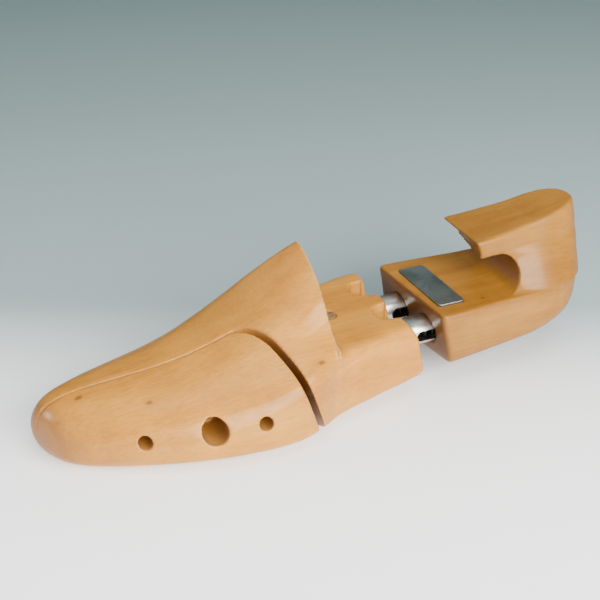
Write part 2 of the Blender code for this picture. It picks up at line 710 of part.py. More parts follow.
def full_ring(half, centre_y, height, skew=0.0):
    """Closed ring from half an outline; height is a function of x and y. Skew turns the front edge."""
    front = half[0][0]
    ring = []
    for sign, points in ((-1, half), (1, list(reversed(half))[1:-1])):
        for x, width in points:
            y = centre_y + sign * width
            shift = skew * (centre_y - y) * (1 - ramp(x, front, front + 45 * MM))
            ring.append(to_frame((x + shift, y, height(x, y))))
    return ring


def base_ring(z, lift, inset, rear):
    """Ring of the heel block's base; lift raises it towards the rear."""
    front_inset = inset * (FRONT_INSET_SHARE if z < 20 * MM else 1.0)
    front = HEEL_FRONT_X + HEEL_FRONT_SLANT * (HEEL_TOP - 2 * MM - z) + front_inset
    corner = max(HEEL_CORNER - inset, 2 * MM)
    middle_half = BASE_HALF - inset - BASE_NARROWING * ramp(z, 18 * MM, 39 * MM)
    half = half_outline(front, BASE_HALF - inset, corner, 228 * MM, middle_half, rear, 2.3)
    tilt_share = ramp(z, 24 * MM, 33 * MM)

    def height(x, y):
        rise = min(1.0, max(0.0, (x - HEEL_FRONT_X) / (66 * MM)))
        return z + lift * rise + tilt(y) * tilt_share

    return full_ring(half, AXIS_Y, height, HEEL_SKEW)


def hook_ring(z, share, front_half, middle_half, rear, centre_y, inset):
    """Ring of the neck and hook; share 0..1 carries it from a level z to the sloping top."""
    front = HOOK_NOSE_X + HOOK_SLANT * (1 - share) * HOOK_LIP + inset
    corner = max(1.6 * MM - inset, 0.5 * MM)
    half = half_outline(front, front_half - inset, corner, 244 * MM, middle_half - inset, rear - inset, 2.25)

    def height(x, y):
        return z + (curve_value(HOOK_TOP, x) - z) * share + tilt(y)

    return full_ring(half, centre_y, height, -HOOK_TWIST * (1 - share))


def make_heel():
    """Heel block: base, neck and hooked handle, with the finger opening, bores and plate seat."""
    rings = [base_ring(*(value * MM for value in row)) for row in BASE_ROWS]
    for z, share, *sizes in HOOK_ROWS:
        rings.append(hook_ring(z * MM, share, *(value * MM for value in sizes)))
    bm = bmesh.new()
    loft(bm, rings)
    heel = mesh_object("heel_block", bm, VARNISHED_WOOD)

    turn = math.atan(SIDE_TILT)
    floor = HEEL_TOP + 0.02 * MM
    radius = 8.25 * MM
    centre = (221.5 * MM, floor + radius)
    outline = [(190 * MM, floor)]
    for k in range(17):
        angle = -math.pi / 2 + math.pi * k / 16
        outline.append((centre[0] + radius * math.cos(angle), centre[1] + radius * math.sin(angle)))
    outline.append((190 * MM, centre[1] + radius - 2.6 * MM))
    pivot = to_frame((0.0, AXIS_Y, HEEL_TOP))
    outline = [(x - ORIGIN_X, z - HEEL_TOP) for x, z in outline]
    cutter = prism("finger_opening", outline, -60 * MM, 60 * MM, "Y")
    cutter.data.transform(Matrix.Translation((0, pivot.y, pivot.z)) @ Matrix.Rotation(turn, 4, "X"))
    apply_boolean(heel, cutter)

    for side in (-1, 1):
        cut = cylinder("heel_bore", BORE_R, tube_line(side, 150 * MM), tube_line(side, HEEL_BORE_END))
        apply_boolean(heel, cut)
    low, high = heel_pin_ends()
    outside = high + ACROSS * 20 * MM
    apply_boolean(heel, cylinder("pin_hole", PIN_R + 0.2 * MM, low - ACROSS * GAP, outside, steps=24))
    apply_boolean(heel, cylinder("pin_plug_hole", PIN_PLUG_R + GAP, high + ACROSS * GAP, outside, steps=24))
    seat = plate_solid("plate_seat", GAP, 0.7 * MM, 10 * MM, CUTTERS)
    apply_boolean(heel, seat)
    for side in (-1, 1):
        top = plate_point(side)
        low = top - TOP_NORMAL * 6 * MM
        high = top + TOP_NORMAL * 5 * MM
        apply_boolean(heel, cylinder("stud_hole", STUD_R + 0.2 * MM, low, high, steps=16))
    return heel


def heel_pin_ends():
    """Ends of the pin that joins the heel block to both tubes."""
    centre = to_frame((PIN_X, AXIS_Y, TUBE_Z))
    return centre - ACROSS * 21.5 * MM, centre + ACROSS * 23.0 * MM


def plate_point(side):
    """Middle of a stud, on the heel block's flat top."""
    y = AXIS_Y + side * 12 * MM
    return to_frame((PLATE_X, y, HEEL_TOP + tilt(y)))


def plate_solid(name, margin, sink, height, collection):
    """Rounded plate lying in the tilted top, sunk a little below it."""
    half_x = PLATE_WIDTH / 2 + margin
    half_y = PLATE_LENGTH / 2 + margin
    corner = 2.2 * MM
    outline = []
    for sx, sy, start in ((1, 1, 0), (-1, 1, 90), (-1, -1, 180), (1, -1, 270)):
        for k in range(6):
            angle = math.radians(start + 90 * k / 5)
            outline.append((sx * (half_x - corner) + corner * math.cos(angle),
                            sy * (half_y - corner) + corner * math.sin(angle)))
    made = prism(name, outline, -sink, height, "Z", collection, BRUSHED)
    place = to_frame((PLATE_X, AXIS_Y, HEEL_TOP))
    made.data.transform(Matrix.Translation(place) @ Matrix.Rotation(math.atan(SIDE_TILT), 4, "X"))
    return made


def make_heel_fittings():
    """Cross pin, its wood plug, and the blank plate with two studs."""
    low, high = heel_pin_ends()
    cylinder("heel_cross_pin", PIN_R, low, high, STEEL, PARTS, steps=28)
    inside = high + ACROSS * 2 * GAP
    outside = high + ACROSS * 4.3 * MM
    cylinder("heel_pin_plug", PIN_PLUG_R, inside, outside, PLUG_WOOD, PARTS, steps=24)
    plate_solid("name_plate", 0.0, 0.4 * MM, PLATE_THICK - 0.4 * MM, PARTS)
    for side, label in ((-1, "outer"), (1, "inner")):
        top = plate_point(side) - TOP_NORMAL * 0.5 * MM
        cylinder(f"plate_stud_{label}", STUD_R, top - TOP_NORMAL * 5 * MM, top, STEEL, PARTS, steps=16)


def make_crest_plug():
    """Wood plug at the foot of the crest."""
    middle = crest_plug_point()
    low = middle - TOP_NORMAL * CREST_PLUG_DEPTH
    high = middle + TOP_NORMAL * 0.02 * MM
    cylinder("crest_foot_plug", CREST_PLUG_R, low, high, PLUG_WOOD, PARTS, steps=24)


HEEL_PIECES = (
    "heel_block", "heel_cross_pin", "heel_pin_plug", "name_plate", "plate_stud_outer", "plate_stud_inner",
    "spring_follower_outer", "spring_follower_inner",
)
WING_PIECES = ("toe_wing", "wing_retainer_upper", "wing_retainer_lower")


def set_slide_origins():
    """Put each sliding piece's origin on the line it slides along."""
    between_tubes = to_frame((PIN_X, AXIS_Y, TUBE_Z))
    for name in HEEL_PIECES:
        move_origin(bpy.data.objects[name], between_tubes)
    on_split_line = wing_axis_point(0.0, GUIDES["upper"][0], GUIDES["upper"][1])
    for name in WING_PIECES:
        move_origin(bpy.data.objects[name], on_split_line)


make_forepart()
make_wing()
make_wing_fittings()
for tube_side, tube_label in ((-1, "outer"), (1, "inner")):
    make_tube_set(tube_side, tube_label)
make_crest_plug()
make_heel()
make_heel_fittings()
set_slide_origins()
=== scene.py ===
"""Looks of the sprung wooden shoe tree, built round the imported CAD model.

Metres, +Z up: toe at -X, heel at +X, outer side of the foot at -Y. The wooden
pieces are modelled again with fine smooth skins and softly rounded cut edges.
"""

import math

import bmesh
import bpy
from mathutils import Matrix, Vector


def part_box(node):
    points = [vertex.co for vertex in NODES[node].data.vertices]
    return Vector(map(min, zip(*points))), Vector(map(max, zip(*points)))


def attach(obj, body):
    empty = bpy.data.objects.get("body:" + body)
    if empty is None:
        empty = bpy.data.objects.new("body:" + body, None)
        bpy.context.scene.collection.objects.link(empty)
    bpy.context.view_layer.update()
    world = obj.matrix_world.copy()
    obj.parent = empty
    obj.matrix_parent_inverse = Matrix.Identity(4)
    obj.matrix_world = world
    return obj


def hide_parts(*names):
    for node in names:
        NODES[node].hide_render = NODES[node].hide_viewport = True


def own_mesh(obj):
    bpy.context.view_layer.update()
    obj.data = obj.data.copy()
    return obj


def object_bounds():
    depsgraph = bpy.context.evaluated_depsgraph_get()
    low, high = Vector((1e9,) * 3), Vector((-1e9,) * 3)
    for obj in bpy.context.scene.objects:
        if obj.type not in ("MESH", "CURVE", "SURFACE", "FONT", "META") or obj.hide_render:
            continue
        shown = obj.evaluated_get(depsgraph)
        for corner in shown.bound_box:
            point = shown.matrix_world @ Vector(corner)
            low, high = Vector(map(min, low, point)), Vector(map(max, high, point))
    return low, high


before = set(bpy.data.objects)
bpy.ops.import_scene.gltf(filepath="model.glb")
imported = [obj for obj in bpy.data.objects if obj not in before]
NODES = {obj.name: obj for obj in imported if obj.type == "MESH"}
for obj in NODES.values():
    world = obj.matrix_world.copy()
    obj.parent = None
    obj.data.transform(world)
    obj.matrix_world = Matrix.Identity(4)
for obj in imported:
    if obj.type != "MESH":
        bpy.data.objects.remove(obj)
CAD_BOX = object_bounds()
MM = 0.001


def middle(node):
    """Middle of a CAD node's box."""
    low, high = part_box(node)
    return (low + high) / 2


# ------------------------------------------------- places read from the frame
WIDEST_OUTER = -45.6 * MM                      # widest point of the outer side below
TOE = Vector((CAD_BOX[0].x, CAD_BOX[0].y - WIDEST_OUTER, 0.0))
TUBE_LOW, TUBE_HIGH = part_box("tube_outer")
TUBE_R = (TUBE_HIGH.y - TUBE_LOW.y) / 2
TUBE_MIDDLES = {label: middle(f"tube_{label}") for label in ("outer", "inner")}
TUBE_SPACING = TUBE_MIDDLES["inner"].y - TUBE_MIDDLES["outer"].y
BETWEEN_TUBES = (TUBE_MIDDLES["inner"] + TUBE_MIDDLES["outer"]) / 2
SIDE_TILT = (TUBE_MIDDLES["inner"].z - TUBE_MIDDLES["outer"].z) / TUBE_SPACING
TILT_ANGLE = math.atan(SIDE_TILT)
TOP_NORMAL = Vector((0.0, -SIDE_TILT, 1.0)).normalized()
ACROSS = Vector((0.0, 1.0, SIDE_TILT)).normalized()
AXIS_Y = BETWEEN_TUBES.y - TOE.y

# heights above the ground and distances from the toe tip
WAIST_TOP = 38.6 * MM
HEEL_TOP = 39.3 * MM
CREST_X = 125.0 * MM
WAIST_REAR_X = 165.6 * MM
HEEL_FRONT_X = 180.6 * MM

# split line of the toe wing in plan, from the toe tip, and the side that the wing is on
SPLIT_FRONT = Vector((11.0, -1.0)) * MM
SPLIT_REAR = Vector((94.0, -9.0)) * MM
SPLIT_LINE = (SPLIT_REAR - SPLIT_FRONT).normalized()
SPLIT_SIDE = Vector((SPLIT_LINE.y, -SPLIT_LINE.x))


# -------------------------------------------------------------- shader helpers
class Tree:
    """Small helper that adds and joins nodes of one material."""

    def __init__(self, name):
        self.material = bpy.data.materials.new(name)
        self.material.use_nodes = True
        self.nodes = self.material.node_tree.nodes
        self.links = self.material.node_tree.links
        self.shader = self.nodes["Principled BSDF"]

    def put(self, socket, value):
        """Join a socket to another node's output, or set its constant."""
        if isinstance(value, bpy.types.NodeSocket):
            self.links.new(value, socket)
        else:
            socket.default_value = value

    def math(self, operation, a, b=0.0):
        """Sum, product or comparison of two numbers."""
        node = self.nodes.new("ShaderNodeMath")
        node.operation = operation
        self.put(node.inputs[0], a)
        self.put(node.inputs[1], b)
        return node.outputs[0]

    def vector(self, operation, a, b=(0.0, 0.0, 0.0)):
        """Node that works on two vectors."""
        node = self.nodes.new("ShaderNodeVectorMath")
        node.operation = operation
        self.put(node.inputs[0], a)
        self.put(node.inputs[1], b)
        return node

    def away_from(self, centre):
        """Vector from a place on the object to the shaded point."""
        source = self.nodes.new("ShaderNodeTexCoord")
        return self.vector("SUBTRACT", source.outputs["Object"], centre).outputs[0]

    def coords(self, scale, offset=(0.0, 0.0, 0.0), turn=(0.0, 0.0, 0.0)):
        """Object coordinates, stretched, turned and shifted."""
        source = self.nodes.new("ShaderNodeTexCoord")
        mapping = self.nodes.new("ShaderNodeMapping")
        self.links.new(source.outputs["Object"], mapping.inputs["Vector"])
        mapping.inputs["Scale"].default_value = scale
        mapping.inputs["Location"].default_value = offset
        mapping.inputs["Rotation"].default_value = turn
        return mapping.outputs[0]

    def noise(self, vector, scale, detail=3.0, roughness=0.55, distortion=0.0):
        """Smooth random value, 0 to 1."""
        node = self.nodes.new("ShaderNodeTexNoise")
        self.put(node.inputs["Vector"], vector)
        node.inputs["Scale"].default_value = scale
        node.inputs["Detail"].default_value = detail
        node.inputs["Roughness"].default_value = roughness
        node.inputs["Distortion"].default_value = distortion
        return node.outputs["Fac"]

    def ramp(self, value, *stops):
        """Colour ramp; each stop is (place, colour) or (place, grey)."""
        node = self.nodes.new("ShaderNodeValToRGB")
        self.put(node.inputs[0], value)
        elements = node.color_ramp.elements
        while len(elements) < len(stops):
            elements.new(0.5)
        for element, (place, colour) in zip(elements, stops):
            element.position = place
            if isinstance(colour, (int, float)):
                colour = (colour, colour, colour)
            element.color = (*colour, 1.0)
        return node.outputs["Color"]

    def mix(self, share, a, b, blend="MIX"):
        """Blend of two colours."""
        node = self.nodes.new("ShaderNodeMix")
        node.data_type = "RGBA"
        node.blend_type = blend
        self.put(node.inputs[0], share)
        for socket, value in ((node.inputs[6], a), (node.inputs[7], b)):
            if isinstance(value, tuple):
                value = (*value, 1.0)
            self.put(socket, value)
        return node.outputs[2]

    def bump(self, height, strength, distance, normal=None):
        """Normal roughened by a height value."""
        node = self.nodes.new("ShaderNodeBump")
        self.put(node.inputs["Height"], height)
        node.inputs["Strength"].default_value = strength
        node.inputs["Distance"].default_value = distance
        if normal is not None:
            self.links.new(normal, node.inputs["Normal"])
        return node.outputs[0]

    def bore_wall_and_rim(self, centre, axis, radius, width):
        """1 on the whole wall of a bore, as painted shade inside it, and on a ragged band round its mouth, as
        frayed fibres; 0 elsewhere.
        """
        away = self.away_from(centre)
        along = self.vector("PROJECT", away, axis).outputs[0]
        across = self.vector("DISTANCE", away, along).outputs["Value"]
        bore_mark = self.noise(self.coords((1, 1, 1)), 1100.0, 3.0)
        reach = self.math("ADD", self.math("MULTIPLY", bore_mark, width * 2), radius - width * 0.55)
        inside = self.math("LESS_THAN", across, reach)
        outside = self.math("GREATER_THAN", across, radius * 0.9)
        return self.math("MULTIPLY", inside, outside)

    def spot(self, centre, stretch, radius):
        """1 at a place, fading to 0 at the radius; stretched along the grain."""
        away = self.away_from(centre)
        scaled = self.vector("MULTIPLY", away, (1 / stretch, 1.0, 1.0)).outputs[0]
        length = self.vector("LENGTH", scaled).outputs["Value"]
        wobble = self.noise(self.coords((1, 1, 1)), 900.0, 2.0)
        distance = self.math("MULTIPLY", length, self.math("ADD", wobble, 0.6))
        node = self.nodes.new("ShaderNodeMapRange")
        node.interpolation_type = "SMOOTHSTEP"
        self.put(node.inputs["Value"], distance)
        node.inputs["From Min"].default_value = radius
        node.inputs["From Max"].default_value = radius * 0.35
        return node.outputs[0]


# ------------------------------------------------------------------- materials
HONEY_LIGHT = (0.63, 0.285, 0.042)
HONEY_MIDDLE = (0.53, 0.222, 0.026)
HONEY_DEEP = (0.37, 0.132, 0.012)
# end grain colour, also standing in as painted shade on faces turned from the lamps
END_GRAIN_AND_SHADE = (0.23, 0.095, 0.034)
KNOT_BROWN = (0.14, 0.05, 0.012)
# painted shade for the walls inside bores, and the colour of frayed fibres round their mouths
TORN_RIM_AND_BORE_SHADE = (0.20, 0.09, 0.03)
# pale edges: partly thin lacquer, partly a painted highlight on rounded edges
PALE_EDGE_AND_HIGHLIGHT = (0.82, 0.47, 0.15)
# painted shade in hollows, creases and gaps
PAINTED_HOLLOW_SHADE = (0.28, 0.14, 0.05)
TORN_WIDTH = 0.55 * MM


def wood(name, shift, knots=(), lean=0.12, shade=1.0, bore_marks=()):
    """Satin lacquered fine-grained wood.

    Knots are (place, radius, strength) and bores are (place, axis, radius); each bore's wall gets painted
    shade and its mouth a ragged frayed band.
    """
    tree = Tree(name)
    rings = tree.noise(tree.coords((3.2, 26.0, 34.0), shift, (0.0, lean, 0.05)), 2.2, 4.0, 0.5, 0.8)
    streaks = tree.noise(tree.coords((14.0, 420.0, 420.0), shift, (0.0, lean, 0.0)), 2.0, 4.0, 0.6, 0.15)
    pores = tree.noise(tree.coords((120.0, 1500.0, 1500.0), shift), 1.0, 2.0, 0.5)
    figure = tree.noise(tree.coords((75.0, 9.0, 12.0), shift, (0.0, 0.25, 0.3)), 1.0, 3.0, 0.5, 0.6)
    clouds = tree.noise(tree.coords((14.0, 14.0, 14.0), shift), 1.2, 2.0, 0.5)

    colour = tree.ramp(rings, (0.28, HONEY_DEEP), (0.46, HONEY_MIDDLE), (0.66, HONEY_LIGHT))
    colour = tree.mix(0.40, colour, HONEY_MIDDLE)
    colour = tree.mix(0.45, colour, tree.ramp(streaks, (0.30, 0.58), (0.62, 1.0)), "MULTIPLY")
    colour = tree.mix(0.22, colour, tree.ramp(figure, (0.34, 0.66), (0.60, 1.06)), "MULTIPLY")
    colour = tree.mix(0.25, colour, tree.ramp(clouds, (0.30, (0.86, 0.74, 0.62)), (0.70, 1.0)), "MULTIPLY")
    flecks = tree.ramp(pores, (0.30, 0.55), (0.42, 1.0))
    colour = tree.mix(0.30, colour, flecks, "MULTIPLY")
    for place, radius, strength in knots:
        mark = tree.spot(place, 1.7, radius)
        ring = tree.spot(place, 2.6, radius * 2.4)
        colour = tree.mix(tree.math("MULTIPLY", ring, strength * 0.45), colour, HONEY_DEEP)
        colour = tree.mix(tree.math("MULTIPLY", mark, strength), colour, KNOT_BROWN)
    # Painted shade on each bore's wall inside it, and a ragged frayed band round its mouth.
    for place, axis, radius in bore_marks:
        bore_mark = tree.bore_wall_and_rim(place, axis, radius, TORN_WIDTH)
        colour = tree.mix(tree.math("MULTIPLY", bore_mark, 0.6), colour, TORN_RIM_AND_BORE_SHADE)
    geometry = tree.nodes.new("ShaderNodeNewGeometry")
    # Pale edges found by high pointiness: partly thin lacquer on the edges, partly a painted highlight where
    # rounded edges catch light.
    edge = tree.ramp(geometry.outputs["Pointiness"], (0.535, 0.0), (0.60, 1.0))
    colour = tree.mix(tree.math("MULTIPLY", edge, 0.55), colour, PALE_EDGE_AND_HIGHLIGHT)
    # Painted shade: places of low pointiness, in hollows, creases and gaps, are darkened towards brown.
    hollow_shade = tree.ramp(geometry.outputs["Pointiness"], (0.40, 1.0), (0.47, 0.0))
    colour = tree.mix(tree.math("MULTIPLY", hollow_shade, 0.5), colour, PAINTED_HOLLOW_SHADE)
    # Faces turned along the grain, towards -X or +X, are darkened: partly darker end grain, partly painted
    # shade on faces that the lamps light less.
    source = tree.nodes.new("ShaderNodeTexCoord")
    facing = tree.nodes.new("ShaderNodeSeparateXYZ")
    tree.links.new(source.outputs["Normal"], facing.inputs[0])
    ends = tree.ramp(tree.math("ABSOLUTE", facing.outputs["X"]), (0.30, 0.0), (0.95, 1.0))
    colour = tree.mix(tree.math("MULTIPLY", ends, 0.8), colour, END_GRAIN_AND_SHADE)
    # Darkens the whole material by the shade factor, which for the heel is partly painted shade.
    colour = tree.mix(1.0, colour, (shade, shade, shade), "MULTIPLY")
    tree.put(tree.shader.inputs["Base Color"], colour)

    gloss = tree.ramp(clouds, (0.25, 0.34), (0.75, 0.44))
    tree.put(tree.shader.inputs["Roughness"], tree.math("ADD", gloss, tree.math("MULTIPLY", streaks, 0.06)))
    tree.shader.inputs["Specular IOR Level"].default_value = 0.06
    tree.shader.inputs["Coat Weight"].default_value = 0.42
    tree.shader.inputs["Coat Roughness"].default_value = 0.25
    tree.shader.inputs["Subsurface Weight"].default_value = 0.06
    tree.shader.inputs["Subsurface Radius"].default_value = (1.0, 0.45, 0.2)
    tree.shader.inputs["Subsurface Scale"].default_value = 0.002
    waves = tree.noise(tree.coords((30.0, 60.0, 60.0), shift), 1.0, 2.0)
    normal = tree.bump(waves, 0.10, 0.0006)
    normal = tree.bump(streaks, 0.10, 0.00012, normal)
    normal = tree.bump(pores, 0.06, 0.00008, normal)
    tree.put(tree.shader.inputs["Normal"], normal)
    return tree.material


def end_grain(name, shift, colour_a, colour_b):
    """Round wooden plug seen on its end grain: rings and pores."""
    tree = Tree(name)
    rings = tree.noise(tree.coords((260.0, 700.0, 260.0), shift), 1.0, 3.0, 0.6, 1.5)
    pores = tree.noise(tree.coords((2200.0, 2200.0, 2200.0), shift), 1.0, 2.0)
    colour = tree.ramp(rings, (0.35, colour_a), (0.62, colour_b))
    colour = tree.mix(0.4, colour, tree.ramp(pores, (0.32, 0.4), (0.48, 1.0)), "MULTIPLY")
    tree.put(tree.shader.inputs["Base Color"], colour)
    tree.put(tree.shader.inputs["Roughness"], tree.ramp(pores, (0.3, 0.62), (0.7, 0.44)))
    tree.shader.inputs["Coat Weight"].default_value = 0.15
    tree.put(tree.shader.inputs["Normal"], tree.bump(pores, 0.3, 0.0001))
    return tree.material


def metal(name, colours, roughness, stretch, bump):
    """Metal with fine drawn or brushed lines along the short side of stretch, and faint stains."""
    tree = Tree(name)
    lines = tree.noise(tree.coords(stretch), 1.0, 4.0, 0.65)
    stains = tree.noise(tree.coords((90.0, 90.0, 90.0)), 1.0, 4.0, 0.6, 0.7)
    colour = tree.ramp(stains, (0.32, colours[0]), (0.60, colours[1]))
    colour = tree.mix(0.35, colour, tree.ramp(lines, (0.3, 0.60), (0.7, 1.0)), "MULTIPLY")
    tree.put(tree.shader.inputs["Base Color"], colour)
    tree.shader.inputs["Metallic"].default_value = 1.0
    low, high = roughness
    spread = tree.math("MULTIPLY", stains, high - low)
    tree.put(tree.shader.inputs["Roughness"], tree.math("ADD", spread, low))
    tree.put(tree.shader.inputs["Normal"], tree.bump(lines, bump, 0.00006))
    return tree.material


def at(x, y, z):
    """Point from toe-tip millimetres to the frame."""
    return Vector((TOE.x + x * MM, TOE.y + y * MM, z * MM))


WING_KNOTS = (
    (at(18.5, -6.5, 28.5), 1.7 * MM, 0.75),
    (at(44.0, -21.5, 27.5), 1.3 * MM, 0.7),
    (at(8.6, -10.0, 21.0), 1.6 * MM, 0.35),
)
BODY_KNOTS = (
    (at(115.5, -35.5, 35.5), 1.5 * MM, 0.8),
    (at(140.5, 20.0, 40.0), 1.4 * MM, 0.4),
)
HEEL_KNOTS = (
    (at(208.5, -18.0, 38.0), 1.0 * MM, 0.7),
    (at(187.0, -15.5, 38.2), 0.9 * MM, 0.5),
    (at(236.0, 26.0, 30.0), 1.4 * MM, 0.5),
)
# vent bores: x, y, height, radius and depth in millimetres
VENTS = (
    (38.2, -31.2, 15.1, 2.85, 12.0),
    (65.3, -39.6, 17.4, 5.4, 17.0),
    (86.0, -44.0, 18.3, 2.95, 10.0),
)
VENT_AXIS = Vector((SPLIT_SIDE.x, SPLIT_SIDE.y, 0.0))
# vent bores whose walls get painted shade and whose mouths a ragged frayed band
VENT_BORE_MARKS = [(at(x, y, z), VENT_AXIS, radius * MM) for x, y, z, radius, _ in VENTS]

FOREPART_SHIFT = (0.31, 0.12, 0.05)
HEEL_SHIFT = (0.77, 0.41, 0.23)
BODY_WOOD = wood("varnished_wood_body", FOREPART_SHIFT, BODY_KNOTS)
WING_WOOD = wood("varnished_wood_wing", FOREPART_SHIFT, WING_KNOTS, bore_marks=VENT_BORE_MARKS)
# The heel's wood is darkened as a whole: partly a darker wood, partly painted shade for the light that falls
# off towards the heel.
HEEL_WOOD = wood("varnished_wood_heel", HEEL_SHIFT, HEEL_KNOTS, lean=-0.16, shade=0.56)
PLUG_WOOD = end_grain("plug_end_grain", (0.2, 0.1, 0.0), (0.10, 0.05, 0.02), (0.30, 0.16, 0.06))
PIN_PLUG_WOOD = end_grain(
    "pin_plug_end_grain", (0.6, 0.4, 0.2), (0.40, 0.22, 0.09), (0.62, 0.38, 0.18),
)
NICKEL = metal(
    "drawn_nickel", ((0.52, 0.50, 0.46), (0.78, 0.76, 0.71)), (0.20, 0.40), (30.0, 1500.0, 1500.0), 0.25,
)
BRUSHED = metal(
    "brushed_plate", ((0.22, 0.235, 0.225), (0.34, 0.35, 0.335)), (0.34, 0.50), (1800.0, 25.0, 25.0), 0.5,
)
STEEL = metal(
    "bright_steel", ((0.42, 0.42, 0.43), (0.62, 0.62, 0.62)), (0.24, 0.42), (300.0, 300.0, 300.0), 0.2,
)
# Near-black wire: painted shade, so the springs read as the dark inside of the tubes and pockets.
SHADED_SPRING_WIRE = metal(
    "spring_wire", ((0.02, 0.02, 0.022), (0.05, 0.05, 0.052)), (0.5, 0.7), (500.0, 500.0, 500.0), 0.2,
)


# ---------------------------------------------------------------- mesh helpers
def ramp(value, start, end):
    """Smooth 0..1 ramp."""
    t = min(1.0, max(0.0, (value - start) / (end - start)))
    return t * t * (3.0 - 2.0 * t)


def curve_value(stations, x):
    """Smooth curve through (x, value) stations, no overshoot."""
    last = len(stations) - 1
    if x <= stations[0][0]:
        return stations[0][1]
    if x >= stations[last][0]:
        return stations[last][1]
    slopes = []
    for (xa, va), (xb, vb) in zip(stations, stations[1:]):
        slopes.append((vb - va) / (xb - xa))
    tangents = [slopes[0]]
    for before, after in zip(slopes, slopes[1:]):
        if before * after <= 0.0:
            tangents.append(0.0)
        else:
            tangents.append(2.0 * before * after / (before + after))
    tangents.append(slopes[-1])
    i = max(k for k in range(last) if stations[k][0] <= x)
    (xa, va), (xb, vb) = stations[i], stations[i + 1]
    h = xb - xa
    t = (x - xa) / h
    return (
        (2 * t**3 - 3 * t**2 + 1) * va
        + (t**3 - 2 * t**2 + t) * h * tangents[i]
        + (3 * t**2 - 2 * t**3) * vb
        + (t**3 - t**2) * h * tangents[i + 1]
    )


def millimetres(*pairs):
    """Stations given in millimetres."""
    return [(a * MM, b * MM) for a, b in pairs]


def tilt(y):
    """Extra height of the tilted flat tops at a distance across the tree."""
    return SIDE_TILT * (y - AXIS_Y)


def to_frame(point):
    """From toe-tip coordinates to the frame."""
    return Vector((TOE.x + point[0], TOE.y + point[1], point[2]))


def mesh_object(name, bm):
    """Link a finished bmesh as a smooth object."""
    bmesh.ops.remove_doubles(bm, verts=bm.verts, dist=0.005 * MM)
    bmesh.ops.recalc_face_normals(bm, faces=bm.faces)
    mesh = bpy.data.meshes.new(name)
    bm.to_mesh(mesh)
    bm.free()
    for polygon in mesh.polygons:
        polygon.use_smooth = True
    made = bpy.data.objects.new(name, mesh)
    bpy.context.scene.collection.objects.link(made)
    return made


def loft(bm, rings, first_point=None):
    """Skin a row of equal rings, closed by flat faces, or in front by a point."""
    rows = [[bm.verts.new(p) for p in ring] for ring in rings]
    count = len(rows[0])
    for row_a, row_b in zip(rows, rows[1:]):
        for i in range(count):
            j = (i + 1) % count
            bm.faces.new((row_a[i], row_a[j], row_b[j], row_b[i]))
    if first_point is None:
        bm.faces.new(rows[0])
    else:
        tip = bm.verts.new(first_point)
        for i in range(count):
            bm.faces.new((rows[0][i], rows[0][(i + 1) % count], tip))
    bm.faces.new(rows[-1])


def bar(name, radius, start, end, steps=72):
    """Closed round bar between two points."""
    axis = Vector(end) - Vector(start)
    turn = Vector((0, 0, 1)).rotation_difference(axis).to_matrix().to_4x4()
    place = Matrix.Translation((Vector(start) + Vector(end)) / 2) @ turn
    bm = bmesh.new()
    bmesh.ops.create_cone(
        bm, cap_ends=True, segments=steps, radius1=radius, radius2=radius, depth=axis.length, matrix=place,
    )
    return mesh_object(name, bm)


def prism(name, outline, low, high, direction="Z"):
    """Closed prism over an outline in the plane across the direction."""
    if direction == "Z":
        rings = [[(a, b, level) for a, b in outline] for level in (low, high)]
    else:
        rings = [[(a, level, b) for a, b in outline] for level in (low, high)]
    bm = bmesh.new()
    loft(bm, rings)
    return mesh_object(name, bm)


def tilted_to(target, place):
    """Tilt a mesh made round the origin as the flat tops are tilted, and move it to a place."""
    turn = Matrix.Rotation(TILT_ANGLE, 4, "X")
    target.data.transform(Matrix.Translation(place) @ turn)
    return target


def bake(target):
    """Replace the target's mesh by the result of its modifiers."""
    graph = bpy.context.evaluated_depsgraph_get()
    made = bpy.data.meshes.new_from_object(target.evaluated_get(graph))
    target.modifiers.clear()
    target.data = made


def cut(target, cutter, operation="DIFFERENCE"):
    """Exact Boolean, baked; the cutter is used up."""
    step = target.modifiers.new("cut", "BOOLEAN")
    step.operation = operation
    step.solver = "EXACT"
    step.object = cutter
    bake(target)
    bpy.data.objects.remove(cutter, do_unlink=True)


SANDING_PASSES = 3


def sand(target, voxel):
    """Even fine skin with softly rounded edges, as sanded and lacquered wood has."""
    remesh = target.modifiers.new("skin", "REMESH")
    remesh.mode = "VOXEL"
    remesh.voxel_size = voxel
    smooth = target.modifiers.new("sanding", "SMOOTH")
    smooth.factor = 0.5
    smooth.iterations = SANDING_PASSES
    bake(target)
    for polygon in target.data.polygons:
        polygon.use_smooth = True


def dress(piece, body, slot, material, *nodes):
    """Give a piece its material and body, and hide the CAD nodes that it stands for; the slot is not used."""
    piece.data.materials.clear()
    piece.data.materials.append(material)
    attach(piece, body)
    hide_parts(*nodes)
    return piece


